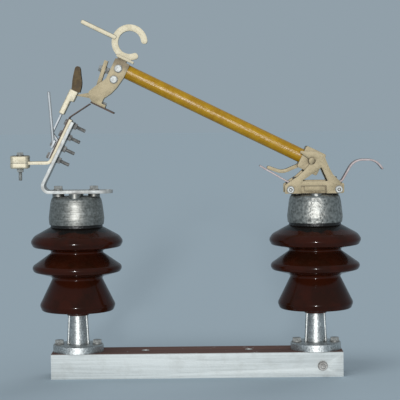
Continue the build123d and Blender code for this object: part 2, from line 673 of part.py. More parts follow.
def contact_block():
    neck = CONTACT_FOOT + CONTACT_STEM_LENGTH
    stem_face = CONTACT_BACK - CONTACT_STEM_THICKNESS
    places = [(CONTACT_FOOT, CONTACT_BACK), (CONTACT_TOP, CONTACT_BACK), (CONTACT_TOP, CONTACT_FACE)]
    places += [(neck, CONTACT_FACE), (neck, stem_face), (CONTACT_FOOT, stem_face)]
    points = [on_leg(along, out) for along, out in places]
    return upright(rounded_face(points, [CONTACT_ROUND] * len(points)), CONTACT_WIDTH)


def lead_in_tongue():
    """Leaf-shaped guide on the contact block, grooved so that the nib passes between its sides."""
    root = CONTACT_BACK - CONTACT_ROUND
    places = [(CONTACT_TOP + up * TONGUE_LENGTH, root - out * TONGUE_DEPTH) for up, out in TONGUE_SHARES]
    points = [on_leg(along, out) for along, out in places]
    edge = Spline(*points)
    leaf = upright(make_face(Curve() + [edge, Line(points[-1], points[0])]), TONGUE_WIDTH)
    back = [on_leg(along, out - TONGUE_BACK) for along, out in places[:4]]
    past = [on_leg(places[4][0], 0), on_leg(CONTACT_TOP, 0)]
    groove = make_face(Polyline(*back, *past, close=True))
    return leaf - upright(groove, TONGUE_GROOVE)


def arcing_horn():
    """Rod on a flat lug under the third bolt's head, standing nearly upright in front of the arm."""
    middle = EYE_OUT + HORN_EYE_THICKNESS / 2
    x, z = on_leg(LEG_BOLTS[2], middle)
    reach = HORN_FRONT + HORN_RADIUS
    lug = Box(2 * HORN_EYE_RADIUS, reach + HORN_EYE_RADIUS, HORN_EYE_THICKNESS)
    lug = Pos(x, (HORN_EYE_RADIUS - reach) / 2, z) * Rot(Y=-LEG_ANGLE) * lug
    rod = disc(HORN_RADIUS, 0, HORN_HEIGHT)
    rod = fillet(rod.edges().sort_by(Axis.Z)[-1], HORN_TIP_SHARE * HORN_RADIUS)
    return lug + Pos(x, -HORN_FRONT, z) * Rot(Y=-HORN_LEAN) * rod - leg_holes()


# Hinge
def cheek_point(share_x, share_z):
    return PIN_X + share_x * FOOT_REACH, PIN_Z + share_z * PIN_HEIGHT


def foot_bolt_places():
    middle = RIGHT_X - FOOT_SHIFT
    return [middle - FOOT_REACH, middle + FOOT_REACH]


def hinge_cheek(side):
    """A-shaped cheek on two feet, with a round pin seat that opens to the left."""
    points = [cheek_point(x, z) for x, z in CHEEK_SHARES]
    plate = rounded_face(points, [CHEEK_ROUND] * 7 + [0] * 4 + [CHEEK_ROUND] * 3 + [0])
    (right, low), (left, _) = points[8], points[9]
    for x in (left + FOOT_LENGTH / 2, right - FOOT_LENGTH / 2):
        plate += Pos(x, (low + HINGE_PLANE) / 2) * Rectangle(FOOT_LENGTH, low - HINGE_PLANE)
    solid = upright(plate, CHEEK_THICKNESS)
    window = [cheek_point(x, z) for x, z in WINDOW_SHARES]
    solid -= upright(rounded_face(window, [WINDOW_ROUND] * 3), 2 * CHEEK_THICKNESS)
    seat = Rot(X=90) * Cylinder(PIN_RADIUS + PIN_CLEARANCE, 2 * CHEEK_THICKNESS)
    solid -= Pos(PIN_X, 0, PIN_Z) * seat
    for x in foot_bolt_places():
        place = Pos(x, 0, HINGE_PLANE + FOOT_BOLT_HEIGHT)
        solid -= place * Rot(X=90) * hole(FOOT_BOLT_RADIUS, CHEEK_THICKNESS)
    return Pos(0, side * (HINGE_WIDTH + CHEEK_THICKNESS) / 2, 0) * solid


def hinge_base():
    block = Box(2 * HINGE_BASE_REACH, HINGE_WIDTH, HINGE_BASE_HEIGHT, align=BASE)
    block = Pos(RIGHT_X, 0, HINGE_PLANE) * block
    block = fillet(block.edges().filter_by(Axis.Y), HINGE_BASE_ROUND)
    pad_width = HINGE_WIDTH + 2 * HINGE_PAD_DEPTH
    pad = Box(HINGE_PAD_LENGTH, pad_width, HINGE_PAD_HEIGHT, align=BASE)
    block += Pos(RIGHT_X - FOOT_SHIFT, 0, HINGE_PLANE + HINGE_PAD_LIFT) * pad
    for x in foot_bolt_places():
        block -= Pos(x, 0, HINGE_PLANE + FOOT_BOLT_HEIGHT) * Rot(X=90) * hole(FOOT_BOLT_RADIUS, HINGE_WIDTH)
    for side in (-1, 1):
        boss = Pos(RIGHT_X + side * BOSS_CIRCLE_RADIUS, 0, HINGE_PLANE)
        block -= boss * hole(CAP_BOLT_RADIUS, 2 * HINGE_BASE_HEIGHT)
    return block


def hinge_cross_bolts():
    grip = HINGE_WIDTH + 2 * CHEEK_THICKNESS
    one = Rot(X=90) * bolt(FOOT_BOLT_RADIUS, grip, FOOT_BOLT_SPARE)
    z = HINGE_PLANE + FOOT_BOLT_HEIGHT
    return Compound([Pos(x, -grip / 2, z) * one for x in foot_bolt_places()])


def hinge_grips():
    """What each of the hinge's cap bolts passes through."""
    return [HINGE_BASE_HEIGHT + EJECTOR_THICKNESS, HINGE_BASE_HEIGHT + BUFFER_THICKNESS]


def ejector_strip():
    """Flat spring on the hinge base, leaning up to lie just below the carrier's finger."""
    level = HINGE_PLANE + HINGE_BASE_HEIGHT + EJECTOR_THICKNESS / 2
    bend_x = RIGHT_X - HINGE_BASE_REACH + HINGE_BASE_ROUND
    bolt_x = RIGHT_X - BOSS_CIRCLE_RADIUS
    tip_x, tip_z = carried_point(FINGER_TIP_ALONG, -FINGER_TIP_DROP)
    apart = (FINGER_THICKNESS + EJECTOR_THICKNESS) / 2 + CONTACT_GAP
    reach = math.hypot(bend_x - tip_x, tip_z - level)
    slope = math.atan2(tip_z - level, bend_x - tip_x) - math.asin(apart / reach)
    length = reach + EJECTOR_PAST
    tip = (bend_x - length * math.cos(slope), level + length * math.sin(slope))
    points = [(bolt_x + EJECTOR_LAP, level), (bend_x, level), tip]
    strip = ribbon(points, [EJECTOR_BEND], EJECTOR_THICKNESS, EJECTOR_WIDTH)
    return strip - Pos(bolt_x, 0, level) * hole(CAP_BOLT_RADIUS, EJECTOR_THICKNESS)


def buffer_strip():
    """Arched spring on the hinge base that catches the falling carrier."""
    level = HINGE_PLANE + HINGE_BASE_HEIGHT + BUFFER_THICKNESS / 2
    foot_x = RIGHT_X + HINGE_BASE_REACH - HINGE_BASE_ROUND
    bolt_x = RIGHT_X + BOSS_CIRCLE_RADIUS
    rise = (foot_x + BUFFER_RUN, level + BUFFER_RISE)
    crest = (rise[0] + BUFFER_TOP, rise[1])
    tip = (crest[0] + BUFFER_TIP_RUN, crest[1] - BUFFER_TIP_DROP)
    points = [(bolt_x - BUFFER_LAP, level), (foot_x, level), rise, crest, tip]
    bends = [BUFFER_FOOT_BEND, BUFFER_BEND, BUFFER_BEND]
    strip = ribbon(points, bends, BUFFER_THICKNESS, BUFFER_WIDTH)
    return strip - Pos(bolt_x, 0, level) * hole(CAP_BOLT_RADIUS, BUFFER_THICKNESS)


# Fuse carrier, drawn with its tube level, its pin at the origin and its head to the left
def fuse_tube():
    length = NIB_ALONG - CASTING_BACK + SOCKET_DEPTH + HINGE_BLOCK_LENGTH / 2
    tube = Cylinder(TUBE_RADIUS, length, align=BASE) - Cylinder(TUBE_BORE_RADIUS, 3 * length)
    return CARRIER * Pos(HINGE_BLOCK_LENGTH / 2, 0, 0) * Rot(Y=-90) * tube


def tube_hole(start, length):
    """Socket for the tube from a place along X towards the head."""
    return Pos(start, 0, 0) * Rot(Y=-90) * Cylinder(TUBE_RADIUS + TUBE_CLEARANCE, length, align=BASE)


def hinge_block_body():
    outline = RectangleRounded(HINGE_BLOCK_LENGTH, HINGE_BLOCK_HEIGHT, HINGE_BLOCK_ROUND)
    return upright(outline, HINGE_BLOCK_DEPTH)


def hinge_block():
    body = hinge_block_body() - tube_hole(HINGE_BLOCK_LENGTH, 2 * HINGE_BLOCK_LENGTH)
    depth = HINGE_BLOCK_DEPTH / 2 - PIN_SINK
    for side in (-1, 1):
        body -= Rot(X=-90 * side) * disc(PIN_RADIUS + PIN_CLEARANCE, depth, HINGE_BLOCK_DEPTH)
    return CARRIER * body


def trunnion_pins():
    """Two stub pins on the block's sides, with a flat that lets them leave the cheeks' mouths."""
    inner = HINGE_BLOCK_DEPTH / 2 - PIN_SINK
    outer = HINGE_WIDTH / 2 + CHEEK_THICKNESS + PIN_OVERHANG
    pins = []
    for side in (-1, 1):
        pin = disc(PIN_RADIUS, inner, outer)
        flat = Box(2 * PIN_RADIUS, 2 * PIN_RADIUS, outer, align=BASE)
        pin -= Pos(PIN_FLAT + PIN_RADIUS, 0, HINGE_BLOCK_DEPTH / 2) * flat
        pins.append(CARRIER * Rot(X=-90 * side) * pin)
    return Compound(pins)


def lever_finger():
    """Bent finger below the hinge block, which the ejector strip lifts."""
    knee = (-FINGER_KNEE_ALONG, -FINGER_KNEE_DROP)
    tip_x, tip_z = -FINGER_TIP_ALONG, -FINGER_TIP_DROP
    points = [(-FINGER_START, -FINGER_START), knee, (tip_x, tip_z)]
    arm = ribbon(points, [FINGER_BEND], FINGER_THICKNESS, FINGER_WIDTH)
    tip = Pos(tip_x, 0, tip_z) * Rot(X=90) * Cylinder(FINGER_THICKNESS / 2, FINGER_WIDTH)
    return CARRIER * (arm + tip - hinge_block_body())


def casting_point(share_back, share_drop):
    """Place on the head casting, back from the nib's tip and below the tube's axis."""
    return -NIB_ALONG + share_back * CASTING_BACK, share_drop * NIB_DROP


def casting_body():
    """The head casting before its socket, slot and holes are cut."""
    points = [casting_point(back, drop) for back, drop in CASTING_SHARES]
    left = points[-1][0]
    points += [(left, CASTING_TOP), (points[0][0], CASTING_TOP)]
    soft = [CASTING_ROUND] * 4
    body = upright(rounded_face(points, soft + [0] * 4 + soft + [0, CASTING_ROUND]), CASTING_WIDTH)
    roots = [casting_point(back, drop) for back, drop in NIB_ROOT_SHARES]
    tip = [(-NIB_ALONG, -NIB_DROP + NIB_TIP / 2), (-NIB_ALONG, -NIB_DROP - NIB_TIP / 2)]
    nib = rounded_face([*tip, *roots], [NIB_TIP / 3, NIB_TIP / 3, 0, 0])
    return body + upright(nib, NIB_WIDTH)


def shank_span():
    """Where the ring's shank lies along X."""
    return [-NIB_ALONG + share * CASTING_BACK for share in SHANK_SHARES]


def casting_bolt_places():
    return [casting_point(back, drop) for back, drop in CASTING_BOLT_SHARES]


def top_casting():
    body = casting_body()
    body -= tube_hole(-NIB_ALONG + CASTING_BACK + SOCKET_DEPTH, 2 * SOCKET_DEPTH)
    left, right = shank_span()
    gap = SHANK_CLEARANCE
    slot_width = SHANK_THICKNESS + 2 * gap
    body -= box_between(left - gap, right + gap, slot_width, -SHANK_DROP - gap, CASTING_TOP + CUT_OVERRUN)
    for x, z in casting_bolt_places():
        body -= Pos(x, 0, z) * Rot(X=90) * hole(CASTING_BOLT_RADIUS, CASTING_WIDTH)
    body -= plate_screw_hole()
    return CARRIER * body


def casting_bolts():
    one = Rot(X=90) * bolt(CASTING_BOLT_RADIUS, CASTING_WIDTH, CASTING_BOLT_SPARE)
    return Compound([CARRIER * Pos(x, -CASTING_WIDTH / 2, z) * one for x, z in casting_bolt_places()])


def prong_body():
    start = -NIB_ALONG + RING_BACK - RING_RADIUS - RING_BAND + PRONG_SEAT
    bar = RectangleRounded(PRONG_LENGTH, PRONG_THICKNESS, PRONG_ROUND)
    return Pos(start - PRONG_LENGTH / 2, 0, RING_RISE - PRONG_DROP) * upright(bar, PRONG_WIDTH)


def operating_ring():
    """Open ring on a foot, with a flat shank that goes down into the head casting."""
    outer = RING_RADIUS + RING_BAND
    wedge_reach = 2 * outer
    angles = [math.radians(RING_GAP_START + share * RING_GAP_SWEEP) for share in (0, 0.5, 1)]
    wedge = [(0, 0)] + [(wedge_reach * math.cos(a), wedge_reach * math.sin(a)) for a in angles]
    ring = Circle(outer) - make_face(Polyline(*wedge, close=True)) - Circle(RING_RADIUS)
    foot_right = -NIB_ALONG + RING_FOOT_BACK
    foot_left = foot_right - RING_FOOT_LENGTH
    foot_low = CASTING_TOP + RING_NECK
    foot_high = foot_low + RING_FOOT_HEIGHT
    body = upright(ring, RING_WIDTH)
    body = fillet(body.edges().filter_by(Axis.Y), RING_END_SHARE * RING_BAND)
    body = Pos(-NIB_ALONG + RING_BACK, 0, RING_RISE) * body
    foot = box_between(foot_left, foot_right, RING_FOOT_WIDTH, foot_low, foot_high)
    left, right = shank_span()
    shank = box_between(left, right, SHANK_THICKNESS, -SHANK_DROP, foot_high)
    bore = Rot(X=90) * Cylinder(RING_RADIUS, 2 * RING_FOOT_WIDTH)
    body += foot + shank
    body -= Pos(-NIB_ALONG + RING_BACK, 0, RING_RISE) * bore
    for x, z in casting_bolt_places():
        body -= Pos(x, 0, z) * Rot(X=90) * hole(CASTING_BOLT_RADIUS, SHANK_THICKNESS)
    return CARRIER * (body - prong_body())


def ring_prong():
    return CARRIER * prong_body()


def tab_bolt_place():
    """Middle of the clamp tab where its bolt passes, and how far the tab leans there."""
    share = (TAB_ROOT_DROP - TAB_BOLT_DROP) / (TAB_ROOT_DROP + TAB_TOP_RISE)
    back = TAB_ROOT_BACK + share * (TAB_TOP_BACK - TAB_ROOT_BACK)
    lean = math.degrees(math.atan2(TAB_ROOT_BACK - TAB_TOP_BACK, TAB_ROOT_DROP + TAB_TOP_RISE))
    return -NIB_ALONG + back, lean


def link_clamp_tab():
    points = [(-NIB_ALONG + TAB_ROOT_BACK, -TAB_ROOT_DROP), (-NIB_ALONG + TAB_TOP_BACK, TAB_TOP_RISE)]
    tab = ribbon(points, [], TAB_THICKNESS, TAB_WIDTH) - casting_body()
    x, lean = tab_bolt_place()
    tab -= Pos(x, 0, -TAB_BOLT_DROP) * Rot(Y=-90 - lean) * hole(TAB_BOLT_RADIUS, TAB_THICKNESS)
    return CARRIER * tab


def link_clamp_bolt():
    x, lean = tab_bolt_place()
    fastener = Pos(0, 0, TAB_THICKNESS / 2) * bolt(TAB_BOLT_RADIUS, TAB_THICKNESS, TAB_BOLT_SPARE)
    return CARRIER * Pos(x, 0, -TAB_BOLT_DROP) * Rot(Y=-90 - lean) * fastener


def plate_screw_place():
    x, z = casting_point(PLATE_SCREW_SHARE, CASTING_SHARES[4][1])
    return Pos(x, 0, z)


def plate_screw_hole():
    return plate_screw_place() * hole(PLATE_SCREW_RADIUS, NIB_DROP / 2)


def contact_plate():
    right = -NIB_ALONG + PLATE_BACK
    plate = box_between(right - PLATE_LENGTH, right, PLATE_WIDTH, PLATE_TOP - PLATE_THICKNESS, PLATE_TOP)
    return CARRIER * (plate - plate_screw_hole())


def plate_screw():
    depth = CASTING_SHARES[4][1] * NIB_DROP - PLATE_TOP + PLATE_THICKNESS
    return CARRIER * plate_screw_place() * screw(PLATE_SCREW_RADIUS, depth)


def nodes():
    """Every piece of the cutout by name."""
    return {
        "base_channel": base_channel(),
        "earth_stud": earth_stud(),
        "left_pedestal": pedestal(LEFT_X),
        "right_pedestal": pedestal(RIGHT_X),
        "left_flange_bolts": flange_bolts(LEFT_X),
        "right_flange_bolts": flange_bolts(RIGHT_X),
        "left_porcelain": porcelain(LEFT_X),
        "right_porcelain": porcelain(RIGHT_X),
        "left_seal_ring": seal_ring(LEFT_X),
        "right_seal_ring": seal_ring(RIGHT_X),
        "left_cap": insulator_cap(LEFT_X, BOSS_HEIGHT),
        "right_cap": insulator_cap(RIGHT_X, HINGE_BOSS_HEIGHT),
        "upper_bracket": upper_bracket(),
        "bracket_cap_bolts": cap_bolts(LEFT_X, CAP_PLANE, [STRAP_THICKNESS] * 2),
        "bracket_bolts": Compound([leg_bolt(i) for i in range(len(LEG_BOLTS))]),
        "terminal_strip": terminal_strip(),
        "terminal_clamp_upper": clamp_half(CLAMP_UPPER_HEIGHT, 1),
        "terminal_clamp_lower": clamp_half(CLAMP_LOWER_HEIGHT, -1),
        "terminal_bolt": terminal_bolt(),
        "contact_leaf": contact_leaf(),
        "spring_arm": spring_arm(),
        "contact_block": contact_block(),
        "lead_in_tongue": lead_in_tongue(),
        "arcing_horn": arcing_horn(),
        "hinge_front_cheek": hinge_cheek(-1),
        "hinge_rear_cheek": hinge_cheek(1),
        "hinge_base": hinge_base(),
        "hinge_cross_bolts": hinge_cross_bolts(),
        "hinge_cap_bolts": cap_bolts(RIGHT_X, HINGE_PLANE, hinge_grips()),
        "ejector_strip": ejector_strip(),
        "buffer_strip": buffer_strip(),
        "fuse_tube": fuse_tube(),
        "hinge_block": hinge_block(),
        "trunnion_pins": trunnion_pins(),
        "lever_finger": lever_finger(),
        "top_casting": top_casting(),
        "casting_bolts": casting_bolts(),
        "operating_ring": operating_ring(),
        "ring_prong": ring_prong(),
        "link_clamp_tab": link_clamp_tab(),
        "link_clamp_bolt": link_clamp_bolt(),
        "contact_plate": contact_plate(),
        "plate_screw": plate_screw(),
    }


os.makedirs("parts", exist_ok=True)
for name, shape in nodes().items():
    export_step(shape, f"parts/{name}.step")
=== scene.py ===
# %% [markdown]
# # Dressing a drop-out fuse cutout
# The frame holds every piece of the cutout at its real size: a channel, two brown post insulators, the
# upper contact, the hinge and the fuse carrier that swings between them. This lesson gives the pieces
# their finishes and the small shapes that a hand or an eye would notice: softened casting edges,
# chamfered bolt heads, screw threads. We start by loading the frame, because everything that follows is
# placed from it. Lengths are in metres, so a small unit makes the sizes easy to read.

# %% Load the frame
import json
import math

import bmesh
import bpy
from mathutils import Matrix, Quaternion, Vector

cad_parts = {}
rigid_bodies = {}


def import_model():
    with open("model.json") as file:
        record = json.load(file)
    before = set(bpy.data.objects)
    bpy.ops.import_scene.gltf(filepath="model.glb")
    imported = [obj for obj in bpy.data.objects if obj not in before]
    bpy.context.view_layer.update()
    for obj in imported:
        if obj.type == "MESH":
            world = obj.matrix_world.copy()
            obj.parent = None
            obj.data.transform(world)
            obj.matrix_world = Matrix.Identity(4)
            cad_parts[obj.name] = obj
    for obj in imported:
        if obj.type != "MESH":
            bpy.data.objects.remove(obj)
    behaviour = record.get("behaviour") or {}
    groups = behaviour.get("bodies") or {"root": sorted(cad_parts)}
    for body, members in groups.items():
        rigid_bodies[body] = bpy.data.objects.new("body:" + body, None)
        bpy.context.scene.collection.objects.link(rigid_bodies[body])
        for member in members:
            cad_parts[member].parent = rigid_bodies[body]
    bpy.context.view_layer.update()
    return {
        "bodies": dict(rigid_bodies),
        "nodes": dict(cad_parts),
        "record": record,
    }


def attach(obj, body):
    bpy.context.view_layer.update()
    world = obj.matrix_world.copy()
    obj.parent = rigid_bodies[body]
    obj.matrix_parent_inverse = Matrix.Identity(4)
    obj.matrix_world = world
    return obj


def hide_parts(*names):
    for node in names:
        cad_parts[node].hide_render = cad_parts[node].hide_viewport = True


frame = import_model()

MM = 0.001
nodes, record = frame["nodes"], frame["record"]
mounts = {mount["name"]: mount for mount in record["mounts"]}
riders = record["behaviour"]["bodies"]
body_of_node = {node: body for body in frame["bodies"] for node in riders[body]}
slot_of_node = {part["node"]: part["material_slot"] for part in record["subparts"]}

# %% [markdown]
# ## A small vocabulary for shader nodes
# Wiring nodes by hand takes three lines a node: make it, set its sockets, link it. One helper does all
# three, so that each finish below reads as a short list of what it is made of. A socket that is given
# another socket is linked, and any other value is simply set. The other option is to join everything in
# the shader editor and save a file, but then nobody can read why a number was chosen.

# %% Helpers that add one node
def add(tree, kind, feeds=None, **settings):
    """Adds a node, sets its options, then sets or links each named input."""
    node = tree.nodes.new(kind)
    for option, value in settings.items():
        setattr(node, option, value)
    for name, value in (feeds or {}).items():
        if isinstance(value, bpy.types.NodeSocket):
            tree.links.new(value, node.inputs[name])
        else:
            node.inputs[name].default_value = value
    return node


def calculate(tree, operation, first, second=0.0):
    """Output of a Math node."""
    return add(tree, "ShaderNodeMath", {0: first, 1: second}, operation=operation).outputs[0]


def times(tree, first, second):
    """Product of two values."""
    return calculate(tree, "MULTIPLY", first, second)


def stretch(tree, value, low, high, to_low=0.0, to_high=1.0):
    """Maps a value from one range to another and holds it there."""
    feeds = {"Value": value, "From Min": low, "From Max": high, "To Min": to_low, "To Max": to_high}
    return add(tree, "ShaderNodeMapRange", feeds).outputs["Result"]


def blend_colours(tree, share, first, second):
    """Colour that goes from the first to the second with the share."""
    mix = add(tree, "ShaderNodeMix", {0: share, 6: first, 7: second}, data_type="RGBA")
    return mix.outputs[2]


def noise(tree, vector, scale, detail=4.0, roughness=0.55):
    """Cloudy noise between 0 and 1."""
    feeds = {"Vector": vector, "Scale": scale, "Detail": detail, "Roughness": roughness}
    return add(tree, "ShaderNodeTexNoise", feeds).outputs[0]


def object_place(tree):
    """The place on the piece, in metres, which rides with the piece when it moves."""
    return add(tree, "ShaderNodeTexCoord").outputs["Object"]


print("helpers ready")

# %% [markdown]
# ## Groups with named sockets
# Wear, grain, stains and dust turn up on many finishes. Their nodes could be copied into each material,
# but a node group is built once and placed with its own values, so a mend reaches every finish. One
# more helper makes a group with its named sockets. All that comes out of these groups is a number, such
# as a mask or a height.

# %% Helper that starts a group
FLOAT, VECTOR = "NodeSocketFloat", "NodeSocketVector"


def new_group(name, inputs, outputs):
    """A shader node group with named sockets; gives the tree, its inputs and its outputs."""
    tree = bpy.data.node_groups.new(name, "ShaderNodeTree")
    for label, kind, value in inputs:
        tree.interface.new_socket(label, in_out="INPUT", socket_type=kind).default_value = value
    for label in outputs:
        tree.interface.new_socket(label, in_out="OUTPUT", socket_type=FLOAT)
    return tree, tree.nodes.new("NodeGroupInput").outputs, tree.nodes.new("NodeGroupOutput").inputs


print("groups can start")

# %% [markdown]
# ## Edge wear, shared by every metal
# Plating and zinc go first where a hand or a spanner rubs: at the edges. A surface can tell that it is
# near an edge by comparing its true normal with one that is averaged over a small radius, which is what
# the Bevel node gives. Where the two disagree there is an edge. Noise breaks the mask up, because wear
# is never an even line. Pointiness would be cheaper, but it needs a dense even mesh, and flat faces
# have none. The glaze uses the same mask for its thin rims.

# %% Group: edge wear
def build_edge_wear():
    inputs = [("Width", FLOAT, MM), ("Breakup", FLOAT, 300.0)]
    tree, given, wanted = new_group("Edge wear", inputs, ["Wear"])
    rounded = add(tree, "ShaderNodeBevel", {"Radius": given["Width"]}, samples=4).outputs["Normal"]
    true = add(tree, "ShaderNodeNewGeometry").outputs["Normal"]
    agree = add(tree, "ShaderNodeVectorMath", {0: rounded, 1: true}, operation="DOT_PRODUCT")
    edge = stretch(tree, agree.outputs["Value"], 0.995, 0.86)
    cloud = stretch(tree, noise(tree, object_place(tree), given["Breakup"]), 0.38, 0.62, 0.25, 1.0)
    tree.links.new(times(tree, edge, cloud), wanted["Wear"])
    return tree


edge_wear = build_edge_wear()
print("group:", edge_wear.name)

# %% [markdown]
# ## Cast grain, stains, dust and top shade
# Three more effects turn up on nearly every piece. Sand casting leaves a fine grain with pits in it.
# Years outdoors leave blotches in any metal. Dust settles on whatever faces up, and the same mask paints
# shade on the tops of the channel and the castings. Images could carry all three, but noise needs no
# file and shows no seam. Each is a group with a few named values, so that a cap and a cheek can share
# the grain and still differ in its size.

# %% Groups: cast grain, stains, dust and top shade
def build_cast_grain():
    tree, given, wanted = new_group("Cast grain", [("Scale", FLOAT, 500.0)], ["Height", "Pits"])
    place = object_place(tree)
    fine = noise(tree, place, given["Scale"], 6.0, 0.6)
    feeds = {"Vector": place, "Scale": given["Scale"]}
    cells = add(tree, "ShaderNodeTexVoronoi", feeds, feature="SMOOTH_F1")
    lumps = times(tree, cells.outputs["Distance"], 0.7)
    tree.links.new(calculate(tree, "ADD", fine, lumps), wanted["Height"])
    tree.links.new(stretch(tree, fine, 0.42, 0.3), wanted["Pits"])
    return tree


def build_stains():
    inputs = [("Scale", FLOAT, 40.0), ("Spread", FLOAT, 0.5)]
    tree, given, wanted = new_group("Stains", inputs, ["Mask"])
    cloud = noise(tree, object_place(tree), given["Scale"], 6.0, 0.65)
    low = calculate(tree, "SUBTRACT", 0.72, times(tree, given["Spread"], 0.35))
    high = calculate(tree, "ADD", low, 0.16)
    tree.links.new(stretch(tree, cloud, low, high), wanted["Mask"])
    return tree


# The mask that faces up: settled dust on glaze and seal, painted shade on channel and castings
def build_dust():
    inputs = [("Scale", FLOAT, 90.0), ("Steepness", FLOAT, 0.55)]
    tree, given, wanted = new_group("Settled dust", inputs, ["Dust"])
    normal = add(tree, "ShaderNodeNewGeometry").outputs["Normal"]
    up = add(tree, "ShaderNodeSeparateXYZ", {0: normal}).outputs["Z"]
    facing = stretch(tree, up, given["Steepness"], 1.0)
    cloud = stretch(tree, noise(tree, object_place(tree), given["Scale"], 5.0, 0.7), 0.3, 0.7)
    tree.links.new(times(tree, facing, cloud), wanted["Dust"])
    return tree


cast_grain, stains, dust_and_top_shade = build_cast_grain(), build_stains(), build_dust()
print("groups:", cast_grain.name, stains.name, dust_and_top_shade.name)

# %% [markdown]
# ## Painted shade in the corners
# Where two pieces meet, the colour is darkened into a painted shade. A point in a corner sees little
# of the open air, which the Ambient Occlusion node measures over a short distance. Painting every seam
# by hand would look the same, but it would not follow the bolts when they move.

# %% Group: painted corner shade
def build_corner_shade():
    inputs = [("Reach", FLOAT, 4 * MM), ("Breakup", FLOAT, 250.0)]
    tree, given, wanted = new_group("Corner grime", inputs, ["Grime"])
    # Painted shade: the less open air a point sees, the darker it is painted
    clear = add(tree, "ShaderNodeAmbientOcclusion", {"Distance": given["Reach"]}, samples=8).outputs["AO"]
    cloud = stretch(tree, noise(tree, object_place(tree), given["Breakup"]), 0.3, 0.6, 0.5, 1.0)
    tree.links.new(times(tree, stretch(tree, clear, 0.88, 0.40), cloud), wanted["Grime"])
    return tree


corner_shade = build_corner_shade()
print("group:", corner_shade.name)

# %% [markdown]
# ## Zinc spangle and drawn streaks
# Hot-dip zinc freezes into flat crystals a few millimetres across, each with its own tone: random cell
# values of a Voronoi texture do that, while a picture of real zinc would repeat itself. Strip and tube
# are drawn or rolled, which leaves fine lines along their length: noise that is stretched along one
# direction, given as a vector so that one group serves every direction.

# %% Groups: spangle, streaks
def build_spangle():
    tree, given, wanted = new_group("Zinc spangle", [("Scale", FLOAT, 160.0)], ["Tone", "Seams"])
    place = object_place(tree)
    bend = add(tree, "ShaderNodeTexNoise", {"Vector": place, "Scale": 220.0, "Detail": 3.0}).outputs[1]
    push = add(tree, "ShaderNodeVectorMath", {0: bend, "Scale": 3 * MM}, operation="SCALE").outputs[0]
    warped = add(tree, "ShaderNodeVectorMath", {0: place, 1: push}, operation="ADD").outputs[0]
    cells = add(tree, "ShaderNodeTexVoronoi", {"Vector": warped, "Scale": given["Scale"]})
    tone = add(tree, "ShaderNodeSeparateColor", {0: cells.outputs["Color"]}).outputs[0]
    tree.links.new(tone, wanted["Tone"])
    tree.links.new(stretch(tree, cells.outputs["Distance"], 0.35, 0.75), wanted["Seams"])
    return tree


def build_streaks():
    inputs = [("Stretch", VECTOR, (30.0, 900.0, 900.0)), ("Turn", FLOAT, 0.0)]
    tree, given, wanted = new_group("Drawn streaks", inputs, ["Lines"])
    feeds = {"Vector": object_place(tree), "Angle": given["Turn"]}
    turned = add(tree, "ShaderNodeVectorRotate", feeds, rotation_type="Y_AXIS").outputs[0]
    feeds = {0: turned, 1: given["Stretch"]}
    long = add(tree, "ShaderNodeVectorMath", feeds, operation="MULTIPLY").outputs[0]
    tree.links.new(noise(tree, long, 1.0, 3.0, 0.6), wanted["Lines"])
    return tree


spangle, streaks = build_spangle(), build_streaks()
print("groups:", spangle.name, streaks.name)

# %% [markdown]
# ## A place to start each finish
# Every finish is one Principled shader. Numbers that are the same all over the surface are set on its
# own sockets, and only what changes over the surface comes from groups. Bump is kept in real metres: a
# cast surface is a few tenths of a millimetre rough, a drawn strip a few hundredths. Most finishes
# serve a slot of the record, such as all the zinc fasteners, and a few pieces get one of their own, so
# there are two lists to fill.

# %% Helpers for a finish
def new_finish(name, **constants):
    """A material with one Principled shader; gives the material, its tree and the shader."""
    material = bpy.data.materials.new(name)
    material.use_nodes = True
    tree = material.node_tree
    shader = tree.nodes["Principled BSDF"]
    for socket, value in constants.items():
        shader.inputs[socket.replace("_", " ")].default_value = value
    return material, tree, shader


def use(tree, group, **values):
    """Places a shared group with its own values and gives its outputs."""
    node = add(tree, "ShaderNodeGroup", node_tree=group)
    for label, value in values.items():
        node.inputs[label].default_value = value
    return node.outputs


def link(tree, shader, **feeds):
    """Links sockets of the shader, with spaces written as underscores."""
    for socket, value in feeds.items():
        tree.links.new(value, shader.inputs[socket.replace("_", " ")])


def bump(tree, shader, height, depth, strength=1.0):
    """Bump of a real depth in metres."""
    node = add(tree, "ShaderNodeBump", {"Height": height, "Distance": depth, "Strength": strength})
    tree.links.new(node.outputs["Normal"], shader.inputs["Normal"])


# By slot of the record, and by node for the pieces that differ
finishes, own_finish = {}, {}
print("finishes can start")

# %% [markdown]
# ## Brown glaze
# The insulators are porcelain under a thick brown glaze: nearly black-brown where the glaze lies deep,
# redder where it runs thin at the rims, and as shiny as glass. One glossy layer would be simpler, but a
# clear coat over a dark body gives the two layers that the real one has. The glaze has a very slight
# orange-peel ripple, dust dulls what faces up, and some of the black compound has run down from under
# the cap: how far up a point lies, against the foot of the seal, says where.

# %% Finish: brown glaze
seal = nodes["left_seal_ring"]
SEAL_FOOT = min((seal.matrix_world @ point.co).z for point in seal.data.vertices)
TAR_REACH, TAR_EDGE = 14 * MM, 1 * MM


